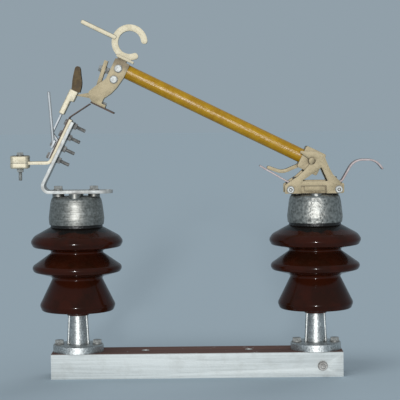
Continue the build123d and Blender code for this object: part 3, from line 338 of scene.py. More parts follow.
def brown_glaze():
    deep, thin = (0.0195, 0.0048, 0.0016, 1), (0.052, 0.0080, 0.0028, 1)
    dusty, black = (0.16, 0.11, 0.08, 1), (0.005, 0.0045, 0.004, 1)
    material, tree, shader = new_finish("brown_glaze", Specular_IOR_Level=0.05,
                                        Coat_Weight=0.30, Coat_Roughness=0.10)
    cloud = use(tree, stains, Scale=22.0, Spread=0.9)["Mask"]
    body = blend_colours(tree, times(tree, cloud, 0.35), deep, thin)
    rim = use(tree, edge_wear, Width=6 * MM, Breakup=60.0)["Wear"]
    body = blend_colours(tree, times(tree, rim, 0.8), body, thin)
    dust_and_shade_film = use(tree, dust_and_top_shade, Scale=120.0, Steepness=0.5)["Dust"]
    body = blend_colours(tree, times(tree, dust_and_shade_film, 0.05), body, dusty)
    height = add(tree, "ShaderNodeSeparateXYZ", {0: object_place(tree)}).outputs["Z"]
    ragged = times(tree, noise(tree, object_place(tree), 60.0), TAR_REACH)
    run = calculate(tree, "ADD", height, ragged)
    tar = stretch(tree, run, SEAL_FOOT - TAR_EDGE, SEAL_FOOT + TAR_EDGE, 0.0, 0.95)
    link(tree, shader, Base_Color=blend_colours(tree, tar, body, black))
    link(tree, shader, Roughness=stretch(tree, dust_and_shade_film, 0.0, 1.0, 0.22, 0.40))
    bump(tree, shader, noise(tree, object_place(tree), 140.0, 3.0), 0.05 * MM, 0.6)
    return material


finishes["brown_porcelain"] = brown_glaze()
print("finish: brown glaze, with the foot of the seal at", round(SEAL_FOOT / MM, 1), "mm")

# %% [markdown]
# ## Zinc on steel: channel and strap
# Two pieces are rolled steel that was dipped in zinc, and they look quite different. The channel is
# pale and matt with faint crystals, and its top is painted a dull rust-brown as shade. The strap is
# newer and brighter, with painted shade around its bolts. Both could be one plain grey metal, but then they
# would look alike, so each starts from the spangle group and differs in what lies on it.

# %% Finish: channel and strap
def dipped_channel():
    dull, pale, stained = (0.41, 0.44, 0.435, 1), (0.60, 0.635, 0.63, 1), (0.33, 0.34, 0.32, 1)
    # Dark and pale rust-brown of the painted shade on the channel's top
    dark_top_shade, pale_top_shade = (0.095, 0.046, 0.036, 1), (0.165, 0.083, 0.064, 1)
    rubbed = (0.64, 0.67, 0.67, 1)
    material, tree, shader = new_finish("dipped_channel", Specular_IOR_Level=0.15)
    tone = use(tree, spangle, Scale=420.0)
    lines = use(tree, streaks, Stretch=(9.0, 420.0, 420.0))["Lines"]
    blotch = use(tree, stains, Scale=42.0, Spread=0.6)["Mask"]
    zinc = blend_colours(tree, stretch(tree, lines, 0.30, 0.70), dull, pale)
    zinc = blend_colours(tree, stretch(tree, tone["Tone"], 0.0, 1.0, 0.0, 0.22), zinc, pale)
    zinc = blend_colours(tree, times(tree, blotch, 0.25), zinc, stained)
    # Painted shade: faces that look up are painted rust-brown
    dust_and_shade_film = use(tree, dust_and_top_shade, Scale=60.0, Steepness=0.80)["Dust"]
    top = stretch(tree, dust_and_shade_film, 0.0, 0.12, 0.0, 0.95)
    colour = blend_colours(tree, top, zinc, blend_colours(tree, lines, dark_top_shade, pale_top_shade))
    worn = use(tree, edge_wear, Width=1.5 * MM, Breakup=120.0)["Wear"]
    link(tree, shader, Base_Color=blend_colours(tree, times(tree, worn, 0.6), colour, rubbed))
    link(tree, shader, Metallic=stretch(tree, top, 0.0, 0.95, 0.30, 0.0))
    sheen = stretch(tree, lines, 0.3, 0.7, 0.46, 0.62)
    link(tree, shader, Roughness=calculate(tree, "MAXIMUM", sheen, top))
    bump(tree, shader, calculate(tree, "ADD", lines, tone["Seams"]), 0.06 * MM, 0.7)
    return material


def bright_strap():
    dull, pale, lined = (0.42, 0.43, 0.42, 1), (0.58, 0.59, 0.57, 1), (0.28, 0.27, 0.25, 1)
    rubbed, shadowed = (0.62, 0.62, 0.60, 1), (0.09, 0.08, 0.07, 1)
    material, tree, shader = new_finish("bright_strap", Metallic=0.5)
    tone = use(tree, spangle, Scale=210.0)
    lines = use(tree, streaks, Stretch=(60.0, 700.0, 60.0))["Lines"]
    worn = use(tree, edge_wear, Width=0.9 * MM, Breakup=260.0)["Wear"]
    zinc = blend_colours(tree, tone["Tone"], dull, pale)
    zinc = blend_colours(tree, stretch(tree, lines, 0.4, 0.8, 0.0, 0.5), zinc, lined)
    zinc = blend_colours(tree, times(tree, worn, 0.5), zinc, rubbed)
    # Painted shade: corners, such as around the bolts, are darkened
    shade = times(tree, use(tree, corner_shade, Reach=3 * MM)["Grime"], 0.8)
    link(tree, shader, Base_Color=blend_colours(tree, shade, zinc, shadowed))
    link(tree, shader, Roughness=stretch(tree, lines, 0.2, 0.8, 0.52, 0.68))
    bump(tree, shader, lines, 0.06 * MM)
    return material


finishes.update(galvanised_channel=dipped_channel(), galvanised_strap=bright_strap())
print("finishes: channel and strap")

# %% [markdown]
# ## Zinc on castings: caps and pedestals
# Caps and pedestals are dipped castings, so the zinc follows their grain. The left cap was turned
# smooth, which leaves fine rings around it, and the right cap came out hammered. They could be two
# recipes, but they differ only in the size and depth of the grain and in how much of the rings shows,
# so one recipe takes these as values.

# %% Finish: dipped castings
def cast_zinc(name, grain_scale, grain_depth, turned, dark, pale):
    """Zinc over a casting: the grain sets how hammered it is, the share how much it was turned smooth."""
    stained, pitted = (0.17, 0.175, 0.16, 1), (0.08, 0.08, 0.075, 1)
    rubbed, shadowed = (0.62, 0.64, 0.64, 1), (0.05, 0.048, 0.042, 1)
    material, tree, shader = new_finish(name, Metallic=0.95)
    grain = use(tree, cast_grain, Scale=grain_scale)
    lines = use(tree, streaks, Stretch=(40.0, 40.0, 900.0))["Lines"]
    blotch = use(tree, stains, Scale=45.0, Spread=0.8)["Mask"]
    worn = use(tree, edge_wear, Width=1.2 * MM, Breakup=200.0)["Wear"]
    zinc = blend_colours(tree, stretch(tree, grain["Height"], 0.45, 1.05), dark, pale)
    ringed = times(tree, stretch(tree, lines, 0.35, 0.7), turned)
    zinc = blend_colours(tree, ringed, zinc, dark)
    zinc = blend_colours(tree, times(tree, blotch, 0.25), zinc, stained)
    zinc = blend_colours(tree, times(tree, grain["Pits"], 0.30), zinc, pitted)
    zinc = blend_colours(tree, times(tree, worn, 0.55), zinc, rubbed)
    # Painted shade: corners, such as around bolts and under fins, are darkened
    shade = times(tree, use(tree, corner_shade, Reach=5 * MM)["Grime"], 0.8)
    link(tree, shader, Base_Color=blend_colours(tree, shade, zinc, shadowed))
    link(tree, shader, Roughness=stretch(tree, grain["Height"], 0.3, 1.1, 0.37, 0.52))
    bump(tree, shader, calculate(tree, "ADD", grain["Height"], ringed), grain_depth)
    return material


PEDESTAL_TONES = (0.30, 0.31, 0.305, 1), (0.74, 0.76, 0.75, 1)
CAP_TONES = (0.165, 0.162, 0.148, 1), (0.47, 0.47, 0.44, 1)
finishes["cast_zinc"] = cast_zinc("cast_zinc", 420.0, 0.22 * MM, 0.1, *PEDESTAL_TONES)
own_finish["left_cap"] = cast_zinc("turned_cap", 300.0, 0.10 * MM, 0.7, *CAP_TONES)
own_finish["right_cap"] = cast_zinc("hammered_cap", 230.0, 0.60 * MM, 0.0, *CAP_TONES)
print("finishes: pedestals,", own_finish["left_cap"].name, "and", own_finish["right_cap"].name)

# %% [markdown]
# ## Black seal
# The ring between cap and porcelain is a bituminous compound that squeezed out and set: black and
# lumpy, with a few glints where it is smooth. The lumps could be modelled, but they are too small to
# change the outline. The grain group adds round cells to fine noise, which looks pressed rather than
# machined, and its height also says where the surface is smooth.

# %% Finish: black seal
def black_seal():
    black, grey, dusty = (0.003, 0.003, 0.003, 1), (0.010, 0.009, 0.008, 1), (0.03, 0.027, 0.024, 1)
    material, tree, shader = new_finish("black_seal", Specular_IOR_Level=0.4)
    grain = use(tree, cast_grain, Scale=350.0)
    dust_and_shade_film = use(tree, dust_and_top_shade, Scale=300.0, Steepness=0.3)["Dust"]
    pitch = blend_colours(tree, grain["Height"], black, grey)
    link(tree, shader, Base_Color=blend_colours(tree, times(tree, dust_and_shade_film, 0.2), pitch, dusty))
    link(tree, shader, Roughness=stretch(tree, grain["Height"], 0.2, 1.2, 0.16, 0.55))
    bump(tree, shader, grain["Height"], 0.5 * MM)
    return material


finishes["black_seal"] = black_seal()
print("finish: black seal")

# %% [markdown]
# ## Plated castings
# Cheeks, blocks and the head are brass castings with a tin plating that has gone khaki outdoors. What a
# rod or a wire rubs clean, such as ring, prong, contact and clamp, stays pale cream. All darken in the
# pits and show a paler metal where the edges are rubbed, and all get a painted dark brown shade along
# the seams, in the corners and on whatever faces up, so they share one recipe with three sets of colours.

# %% Finish: plated castings
# Dark brown of the dirt in the pits, and of the painted shade in corners, seams and on top faces
CASTING_DIRT_AND_SHADE = (0.075, 0.050, 0.028, 1)


def plated_casting(name, dark, pale, bright, shadow_band=None):
    """Tin over brass; the shadow_band is a direction and two lengths along it, between which brown shade is
    painted.
    """
    material, tree, shader = new_finish(name, Metallic=0.40)
    grain = use(tree, cast_grain, Scale=620.0)
    blotch = use(tree, stains, Scale=60.0, Spread=0.75)["Mask"]
    worn = use(tree, edge_wear, Width=1.0 * MM, Breakup=240.0)["Wear"]
    plate = blend_colours(tree, stretch(tree, grain["Height"], 0.45, 1.05), dark, pale)
    plate = blend_colours(tree, times(tree, blotch, 0.45), plate, dark)
    plate = blend_colours(tree, times(tree, grain["Pits"], 0.6), plate, CASTING_DIRT_AND_SHADE)
    plate = blend_colours(tree, times(tree, worn, 0.5), plate, bright)
    # Painted shade: corners, seams and faces that look up are darkened towards a dark brown
    seam_shade = times(tree, use(tree, corner_shade, Reach=4 * MM)["Grime"], 0.85)
    top_shade = stretch(tree, use(tree, dust_and_top_shade, Scale=90.0, Steepness=0.45)["Dust"], 0.0, 0.35, 0.0, 0.85)
    painted_shade = calculate(tree, "MAXIMUM", seam_shade, top_shade)
    # Painted shadow: an optional band across the piece is darkened too
    if shadow_band:
        direction, low, high = shadow_band
        feeds = {0: object_place(tree), 1: direction}
        along = add(tree, "ShaderNodeVectorMath", feeds, operation="DOT_PRODUCT").outputs["Value"]
        shadow_reach = calculate(tree, "ADD", along, times(tree, blotch, 2 * MM))
        painted_shade = calculate(tree, "MAXIMUM", painted_shade, stretch(tree, shadow_reach, low, high, 0.0, 0.62))
    link(tree, shader, Base_Color=blend_colours(tree, painted_shade, plate, CASTING_DIRT_AND_SHADE))
    link(tree, shader, Roughness=stretch(tree, grain["Height"], 0.3, 1.1, 0.42, 0.60))
    bump(tree, shader, grain["Height"], 0.14 * MM, 0.8)
    return material


# Dark, pale and rubbed colour
KHAKI = (0.235, 0.19, 0.11, 1), (0.41, 0.345, 0.22, 1), (0.58, 0.52, 0.38, 1)
CREAM = (0.41, 0.36, 0.25, 1), (0.71, 0.655, 0.51, 1), (0.82, 0.78, 0.66, 1)
HANDLED = (0.35, 0.305, 0.20, 1), (0.61, 0.56, 0.425, 1), (0.74, 0.70, 0.57, 1)
finishes["plated_brass"] = plated_casting("khaki_plating", *KHAKI)
cream = plated_casting("cream_plating", *CREAM)
handled = plated_casting("handled_plating", *HANDLED)
own_finish.update(contact_block=cream, terminal_strip=cream,
                  terminal_clamp_upper=cream, terminal_clamp_lower=cream)
own_finish.update(operating_ring=handled, ring_prong=handled)
print("finishes:", finishes["plated_brass"].name, cream.name, handled.name)

# %% [markdown]
# ## Painted shadow below the ring
# The top of the head casting is painted brown, as the shadow that the ring's foot casts on it. The band
# lies across the tube's direction and is measured down from the casting's own top end. A place on the
# piece is used, not a place in the room, so the painted shadow swings with the carrier.

# %% Finish: head casting
SHADOW_BAND_LOW, SHADOW_BAND_HIGH = 15 * MM, 6 * MM
tube_axis = Vector(mounts["tube_mouth"]["axis"])
across_tube = Vector((-tube_axis.z, 0, tube_axis.x))
head_top = max(point.co.dot(across_tube) for point in nodes["top_casting"].data.vertices)
head_shadow_band = across_tube, head_top - SHADOW_BAND_LOW, head_top - SHADOW_BAND_HIGH
# Painted shadow: a brown band below the ring's foot
own_finish["top_casting"] = plated_casting("shadowed_head_plating", *KHAKI, shadow_band=head_shadow_band)
print("finish: head casting, dirty from", round(SHADOW_BAND_LOW / MM), "mm below its top")

# %% [markdown]
# ## Copper, bronze and spring metal
# The contact leaf is tarnished copper, the strips by the hinge are a pinker spring bronze, the tongue
# is a brown bronze casting and the arm and horn are bright spring steel. All four are one recipe of
# streaks, blotches and worn edges with its own colours, so one function makes them.

# %% Finish: strip metals
def strip_metal(name, dark, pale, bright, low_roughness, high_roughness):
    """Rolled strip: fine lines, tarnish blotches and rubbed edges."""
    shadowed = (0.045, 0.035, 0.03, 1)
    material, tree, shader = new_finish(name, Metallic=0.6)
    lines = use(tree, streaks, Stretch=(90.0, 1500.0, 90.0))["Lines"]
    blotch = use(tree, stains, Scale=110.0, Spread=0.85)["Mask"]
    worn = use(tree, edge_wear, Width=0.6 * MM, Breakup=420.0)["Wear"]
    metal = blend_colours(tree, stretch(tree, lines, 0.3, 0.7), dark, pale)
    metal = blend_colours(tree, times(tree, blotch, 0.55), metal, dark)
    metal = blend_colours(tree, times(tree, worn, 0.6), metal, bright)
    # Painted shade: corners where strips meet other pieces are darkened
    shade = times(tree, use(tree, corner_shade, Reach=3 * MM)["Grime"], 0.8)
    link(tree, shader, Base_Color=blend_colours(tree, shade, metal, shadowed))
    link(tree, shader, Roughness=stretch(tree, lines, 0.25, 0.75, low_roughness, high_roughness))
    bump(tree, shader, lines, 0.05 * MM)
    return material


# Slot: dark, pale and rubbed colour, lowest and highest roughness
STRIPS = {
    "copper_leaf": ((0.055, 0.036, 0.028, 1), (0.135, 0.092, 0.072, 1), (0.26, 0.185, 0.145, 1), 0.50, 0.66),
    "copper_spring": ((0.26, 0.205, 0.20, 1), (0.50, 0.45, 0.45, 1), (0.66, 0.60, 0.59, 1), 0.50, 0.64),
    "bronze_tongue": ((0.034, 0.022, 0.010, 1), (0.125, 0.086, 0.038, 1), (0.26, 0.20, 0.12, 1), 0.50, 0.66),
    "spring_steel": ((0.40, 0.415, 0.425, 1), (0.58, 0.60, 0.61, 1), (0.70, 0.72, 0.73, 1), 0.52, 0.66),
}
finishes.update({slot: strip_metal(slot, *look) for slot, look in STRIPS.items()})
print("finishes:", *STRIPS)

# %% [markdown]
# ## Varnished tube
# The fuse tube is glass fibre in amber resin under a lumpy varnish, which breaks its highlight up into
# dots. Fine fibres run along it and the colour goes from honey to brown. The streak group is turned by
# the tube's tilt so that the fibres follow it. A clear coat is the usual way to a varnish, but its
# highlight stays a straight line, so here the lumps go into the surface itself and there is only one
# layer.

# %% Finish: varnished tube
tube_tilt = math.atan2(-tube_axis.z, tube_axis.x)


def varnished_tube():
    amber, honey = (0.31, 0.155, 0.002, 1), (0.48, 0.27, 0.004, 1)
    brown, thin = (0.24, 0.105, 0.003, 1), (0.56, 0.33, 0.012, 1)
    material, tree, shader = new_finish("varnished_tube", Specular_IOR_Level=0.45)
    fibres = use(tree, streaks, Stretch=(22.0, 900.0, 900.0), Turn=-tube_tilt)["Lines"]
    bands = use(tree, streaks, Stretch=(160.0, 30.0, 30.0), Turn=-tube_tilt)["Lines"]
    blotch = use(tree, stains, Scale=70.0, Spread=0.7)["Mask"]
    resin = blend_colours(tree, stretch(tree, fibres, 0.3, 0.7), amber, honey)
    resin = blend_colours(tree, stretch(tree, bands, 0.45, 0.75, 0.0, 0.35), resin, brown)
    link(tree, shader, Base_Color=blend_colours(tree, times(tree, blotch, 0.35), resin, thin))
    link(tree, shader, Roughness=stretch(tree, fibres, 0.2, 0.8, 0.21, 0.38))
    lumps = noise(tree, object_place(tree), 240.0, 2.0)
    bump(tree, shader, calculate(tree, "ADD", fibres, lumps), 0.34 * MM)
    return material


finishes["amber_tube"] = varnished_tube()
print("finish: tube, tilted", round(math.degrees(tube_tilt), 1), "degrees")

# %% [markdown]
# ## Fasteners
# Bolts are zinc plated: brighter and smoother than the castings, so they don't share a recipe with
# them, and painted darker in their recesses as shade. The hinge's cap bolts are blackened, and
# the bolts of the strap's leg and the earth stud are grimy, so the same recipe takes three pairs of
# colours.

# %% Finish: fasteners
RUB = 1.25


def fastener(name, dark, pale):
    shadowed = (0.03, 0.027, 0.024, 1)
    bright = tuple(min(1.0, channel * RUB) for channel in pale[:3]) + (1,)
    material, tree, shader = new_finish(name, Metallic=0.6)
    cloud = use(tree, stains, Scale=240.0, Spread=0.8)["Mask"]
    grain = use(tree, cast_grain, Scale=1500.0)
    worn = use(tree, edge_wear, Width=0.5 * MM, Breakup=600.0)["Wear"]
    metal = blend_colours(tree, times(tree, cloud, 0.6), pale, dark)
    metal = blend_colours(tree, times(tree, worn, 0.7), metal, bright)
    # Painted shade: the recesses of heads, nuts and washers are darkened
    shade = use(tree, corner_shade, Reach=2.5 * MM)["Grime"]
    link(tree, shader, Base_Color=blend_colours(tree, shade, metal, shadowed))
    link(tree, shader, Roughness=stretch(tree, grain["Height"], 0.3, 1.1, 0.46, 0.62))
    bump(tree, shader, grain["Height"], 0.03 * MM)
    return material


finishes["zinc_fastener"] = fastener("zinc_fastener", (0.22, 0.22, 0.205, 1), (0.50, 0.51, 0.49, 1))
finishes["dark_fastener"] = fastener("dark_fastener", (0.05, 0.045, 0.04, 1), (0.16, 0.14, 0.12, 1))
grimy = fastener("grimy_fastener", (0.09, 0.08, 0.07, 1), (0.42, 0.41, 0.39, 1))
own_finish.update(bracket_bolts=grimy, earth_stud=grimy)
print("finishes: plated, blackened and grimy bolts")

# %% [markdown]
# ## Handing out the finishes
# A piece takes the finish of its own if it has one, and that of its slot otherwise. Each piece could be
# given a finish by hand, but the record already says which slot it has, so only the exceptions were
# chosen.

# %% Hand out the finishes
def finish_of(node):
    return own_finish.get(node, finishes[slot_of_node[node]])


for node, piece in nodes.items():
    piece.data.materials.clear()
    piece.data.materials.append(finish_of(node))
print("materials:", len(bpy.data.materials), "on", len(nodes), "nodes")

# %% [markdown]
# ## Softened edges
# A casting has no knife edges, and even sawn strip is dressed with a file. The frame's solids have
# sharp ones, so each such piece gets a copy whose sharp edges are rounded: points that coincide are
# merged, flat triangles are dissolved back into whole faces, and every edge that turns sharply is
# bevelled. A bevel modifier on the node would be less to write, but a copy keeps the frame itself
# untouched.

# %% Round the edges of a mesh
MERGE = 0.002 * MM
FLAT, SHARP = math.radians(0.6), math.radians(32)
BEVEL_SEGMENTS = 3


def softened_mesh(source, width):
    """A copy of a node's mesh with its sharp edges rounded to a width."""
    shape = bmesh.new()
    shape.from_mesh(source.data)
    bmesh.ops.remove_doubles(shape, verts=shape.verts, dist=MERGE)
    bmesh.ops.dissolve_limit(shape, angle_limit=FLAT, verts=shape.verts, edges=shape.edges)
    between_two = [edge for edge in shape.edges if len(edge.link_faces) == 2]
    sharp = [edge for edge in between_two if edge.calc_face_angle() > SHARP]
    bmesh.ops.bevel(shape, geom=sharp, offset=width, offset_type="OFFSET", segments=BEVEL_SEGMENTS,
                    profile=0.5, affect="EDGES", clamp_overlap=True)
    bmesh.ops.triangulate(shape, faces=[face for face in shape.faces if len(face.verts) > 4])
    mesh = bpy.data.meshes.new(source.name + "_soft")
    shape.to_mesh(mesh)
    shape.free()
    mesh.shade_smooth()
    mesh.set_sharp_from_angle(angle=SHARP)
    return mesh


print("edges that turn by more than", round(math.degrees(SHARP)), "degrees will be rounded")

# %% [markdown]
# ## A copy stands for its node
# A copy has to ride on the same body as the piece it stands for, hide that piece and keep its finish.
# Doing that by hand for each copy would work too, but one helper can't forget a step. The widths below
# are what each piece shows: three millimetres on the round clamp, one or two on castings, a few tenths
# on strip.

# %% Soften the castings and strips
def stand_for(mesh, node, name):
    """Shows a mesh in a node's place, on the same body and with the same finish."""
    piece = bpy.data.objects.new(name, mesh)
    bpy.context.scene.collection.objects.link(piece)
    mesh.materials.clear()
    mesh.materials.append(finish_of(node))
    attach(piece, body_of_node[node])
    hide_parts(node)


# Node: width of its rounded edges in mm
SOFT_EDGES = {
    "hinge_front_cheek": 1.2, "hinge_rear_cheek": 1.2, "hinge_base": 1.0, "hinge_block": 2.2,
    "lever_finger": 1.8, "top_casting": 2.0, "operating_ring": 2.6, "ring_prong": 0.9,
    "link_clamp_tab": 1.2, "contact_block": 1.4, "terminal_clamp_upper": 3.2, "terminal_clamp_lower": 3.0,
    "terminal_strip": 0.6, "upper_bracket": 0.6, "spring_arm": 0.4, "contact_plate": 0.4,
    "contact_leaf": 0.25, "ejector_strip": 0.35, "buffer_strip": 0.4, "base_channel": 0.6,
    "trunnion_pins": 0.7, "arcing_horn": 0.7,
}
for node, width in SOFT_EDGES.items():
    mesh = softened_mesh(nodes[node], width * MM)
    stand_for(mesh, node, node + "_soft")
    print("softened", node, len(mesh.polygons), "faces")

# %% [markdown]
# ## Bolt heads
# The frame's bolts are plain hexagons on plain rods. A real head has a cone-shaped chamfer, which
# leaves a round face with an arc on each flat. It could be cut with a boolean, but lofting gives
# cleaner faces: a bolt is a stack of rings, and a ring is just a radius and a height that change with
# the angle. The hexagon's radius follows its flats, and the chamfer is a ring whose height falls with
# that radius. The bolts through the hinge have a groove turned in their heads, which shows as a dark
# ring: its own shade, deepened by the painted corner shade of the fasteners' finish.

# %% Rings of a head
ROUND = 36
HEX_SHARE, FACE_SHARE = 3.25, 0.95
CHAMFER_SLOPE = math.tan(math.radians(28))
# Rings of a groove: share of the face's radius, share of the groove's depth
GROOVE = (0.66, 0), (0.58, 1), (0.36, 1), (0.28, 0)


def around(radius_at, height_at):
    """One ring of points: radius and height as functions of the angle."""
    angles = [2 * math.pi * step / ROUND for step in range(ROUND)]
    return [Vector((radius_at(a) * math.cos(a), radius_at(a) * math.sin(a), height_at(a))) for a in angles]


def plain_ring(radius, height):
    return around(lambda angle: radius, lambda angle: height)


def hex_radius(flat):
    """Radius of a hexagon of that half width across its flats, at an angle."""
    sixth = math.pi / 3
    return lambda angle: flat / math.cos((angle + sixth / 2) % sixth - sixth / 2)


def hex_rings(radius, low, high, both_ends):
    """Rings of a chamfered hexagon from low to high."""
    flat = radius * HEX_SHARE / 2
    across, face = hex_radius(flat), FACE_SHARE * flat
    drop = lambda angle: (across(angle) - face) * CHAMFER_SLOPE
    top = [around(across, lambda angle: high - drop(angle)), plain_ring(face, high)]
    if both_ends:
        return [plain_ring(face, low), around(across, lambda angle: low + drop(angle))] + top
    return [around(across, lambda angle: low)] + top


def groove_rings(radius, depth):
    """Rings of a groove in a head's face at height zero, with a button left standing in its middle."""
    face = FACE_SHARE * radius * HEX_SHARE / 2
    return [plain_ring(share * face, -drop * depth) for share, drop in GROOVE]


print("a ring has", ROUND, "points")

# %% [markdown]
# ## Washers, threads and skin
# A washer has its outer edge broken, and a free end shows its thread. A bump could draw a thread, but
# its outline would stay straight, and the long bolts of the leg show theirs. So a thread is a stack of
# rings too, whose radius runs round like a screw. The skin joins each ring to the next and closes both
# ends.

# %% Rings of a washer and a thread, and the skin
WASHER_RADIUS_SHARE, BROKEN_SHARE = 2.0, 0.25
PITCH_SHARE, THREAD_SHARE = 0.32, 0.17
STEPS_A_TURN = 6


def washer_rings(radius, low, high):
    """Rings of a washer with its outer edge broken."""
    broken = BROKEN_SHARE * (high - low)
    rim = radius * WASHER_RADIUS_SHARE
    places = [(rim - broken, low), (rim, low + broken), (rim, high - broken), (rim - broken, high)]
    return [plain_ring(r, z) for r, z in places]


def thread_rings(radius, low, high):
    """Rings of a right-hand thread that ends in a small point."""
    pitch, depth = radius * PITCH_SHARE, radius * THREAD_SHARE
    steps = max(2, round((high - low) / pitch * STEPS_A_TURN))
    rings = [plain_ring(radius - 2 * depth, low - depth), plain_ring(radius - depth, low)]
    for step in range(steps + 1):
        height = low + (high - low) * step / steps
        wave = lambda angle: abs(((height / pitch - angle / (2 * math.pi)) % 1.0) * 2 - 1)
        rings.append(around(lambda angle: radius - depth * wave(angle), lambda angle: height))
    return rings


def loft(shape, rings, place):
    """Skins a stack of rings and closes both ends."""
    rows = [[shape.verts.new(place @ point) for point in ring] for ring in rings]
    for lower, upper in zip(rows, rows[1:]):
        for i in range(ROUND):
            j = (i + 1) % ROUND
            shape.faces.new((lower[i], lower[j], upper[j], upper[i]))
    shape.faces.new(rows[0][::-1])
    shape.faces.new(rows[-1])


print("a thread has", STEPS_A_TURN, "rings a turn")

# %% [markdown]
# ## Measuring the frame's bolts
# Several bolts share a node, so the node's mesh is first split into its loose parts. Along the bolt's
# axis the part's ends give the length, and across it the middle of its box gives the centre line,
# because hexagons and circles are symmetrical. Places could be typed in instead, but a measured bolt
# stays where the solid is.

# %% Measure the bolts
def loose_parts(source):
    """The points of each separate solid in a node."""
    shape = bmesh.new()
    shape.from_mesh(source.data)
    bmesh.ops.remove_doubles(shape, verts=shape.verts, dist=MERGE)
    waiting, parts = set(shape.verts), []
    while waiting:
        border, found = [waiting.pop()], []
        while border:
            point = border.pop()
            found.append(point.co.copy())
            for edge in point.link_edges:
                other = edge.other_vert(point)
                if other in waiting:
                    waiting.remove(other)
                    border.append(other)
        parts.append(found)
    shape.free()
    return parts


def bolt_place(points, up):
    """Where a bolt's head ends, as a placement with Z along its axis, and how long the bolt is."""
    turn = Vector((0, 0, 1)).rotation_difference(up).to_matrix()
    local = [turn.transposed() @ point for point in points]
    low = Vector(min(p[k] for p in local) for k in range(3))
    high = Vector(max(p[k] for p in local) for k in range(3))
    middle = (low + high) / 2
    top = turn @ Vector((middle.x, middle.y, high.z))
    return Matrix.Translation(top) @ turn.to_4x4(), high.z - low.z


print("bolts in the strap's leg:", len(loose_parts(nodes["bracket_bolts"])))

# %% [markdown]
# ## One bolt
# From the head down the order is always the same: head, washer, what it clamps, washer, nut, free
# thread. Each size could be a model of its own, but sizes given as shares of the bolt's radius let one
# function make them all.

# %% Put one bolt together
HEAD_SHARE, NUT_SHARE, WASHER_SHARE = 1.3, 1.6, 0.4
SHANK_SHARE, NUT_BITE, GROOVE_SHARE = 0.8, 0.4, 0.55


def add_bolt(shape, points, up, radius, washer, nut, spare, grooved):
    """One bolt, lofted from its head at height zero downward."""
    place, length = bolt_place(points, up)
    head = -radius * HEAD_SHARE
    groove = groove_rings(radius, GROOVE_SHARE * radius) if grooved else []
    loft(shape, hex_rings(radius, head, 0, False) + groove, place)
    if washer:
        loft(shape, washer_rings(radius, head - radius * WASHER_SHARE, head), place)
    if not nut:
        loft(shape, [plain_ring(radius, -length), plain_ring(radius, head)], place)
        return
    nut_low = -length + spare
    nut_high = nut_low + radius * NUT_SHARE
    loft(shape, hex_rings(radius, nut_low, nut_high, True), place)
    loft(shape, washer_rings(radius, nut_high, nut_high + radius * WASHER_SHARE), place)
    thread_low = -length + 2 * radius * THREAD_SHARE
    thread_high = nut_low + NUT_BITE * radius * NUT_SHARE
    loft(shape, thread_rings(radius, thread_low, thread_high), place)
    shank = SHANK_SHARE * radius
    loft(shape, [plain_ring(shank, nut_high), plain_ring(shank, head)], place)


print("a head is", HEAD_SHARE, "and a nut", NUT_SHARE, "times as high as the bolt's radius")

# %% [markdown]
# ## All the bolts
# Bolts on caps and flanges stand upright, those through hinge, head and channel lie from front to back,
# and the others lean with the strap's leg or with the tube. A table with one row for each node is
# easier to compare with the object than separate calls would be.

# %% Build the bolts
def tilted(degrees):
    """Direction in the XZ plane, turned from straight up towards +X."""
    return Vector((math.sin(math.radians(degrees)), 0, math.cos(math.radians(degrees))))


UP, FRONT, BACK = Vector((0, 0, 1)), Vector((0, -1, 0)), Vector((0, 1, 0))
LEG_LEAN, TAB_LEAN = 63.5, 7.46
CREASE = math.radians(28)
carrier_tilt = math.degrees(tube_tilt)
# Node: direction of the head, radius in mm, washer under the head, nut, free thread past the nut in mm
BOLTS = {
    "earth_stud": (BACK, 4.0, True, True, 6.0),
    "left_flange_bolts": (UP, 4.0, True, True, 5.0),
    "right_flange_bolts": (UP, 4.0, True, True, 5.0),
    "bracket_cap_bolts": (UP, 4.0, True, False, 0.0),
    "hinge_cap_bolts": (UP, 4.0, True, False, 0.0),
    "terminal_bolt": (UP, 3.0, True, True, 14.0),
    "hinge_cross_bolts": (FRONT, 3.0, True, True, 3.0),
    "casting_bolts": (FRONT, 3.2, True, True, 3.0),
    "link_clamp_bolt": (tilted(carrier_tilt - 90 - TAB_LEAN), 3.0, True, True, 0.5),
    "plate_screw": (tilted(carrier_tilt), 2.0, True, False, 0.0),
    "bracket_bolts": (tilted(-LEG_LEAN), 3.0, False, True, 15.5),
}
GROOVED = {"hinge_cross_bolts"}
for node, (up, radius, washer, nut, spare) in BOLTS.items():
    shape = bmesh.new()
    parts = loose_parts(nodes[node])
    for points in parts:
        add_bolt(shape, points, up, radius * MM, washer, nut, spare * MM, node in GROOVED)
    mesh = bpy.data.meshes.new(node + "_turned")
    shape.to_mesh(mesh)
    shape.free()
    mesh.shade_smooth()
    mesh.set_sharp_from_angle(angle=CREASE)
    stand_for(mesh, node, node + "_turned")
    print("bolts in", node, len(parts))

# %% [markdown]
# ## What stays as it is
# Porcelain, caps, pedestals, seals, the tongue and the tube keep the frame's own meshes. These are fine
# enough and come shaded smoothly, and a copy would look the same, so this step only counts them.

# %% Count what is shown
shown = [node for node in nodes if not nodes[node].hide_render]
print("frame pieces still shown:", len(shown), shown)

# %% [markdown]
# ## Floor
# The object stands on a plain pale blue-grey sheet. A curved backdrop would hide the horizon from one
# side only, so the sheet is flat and large enough for any view. It is a stage piece and no part of the
# object.

# %% Floor
FLOOR_SIZE = 60.0
FLOOR_COLOUR = (0.47, 0.575, 0.64, 1)


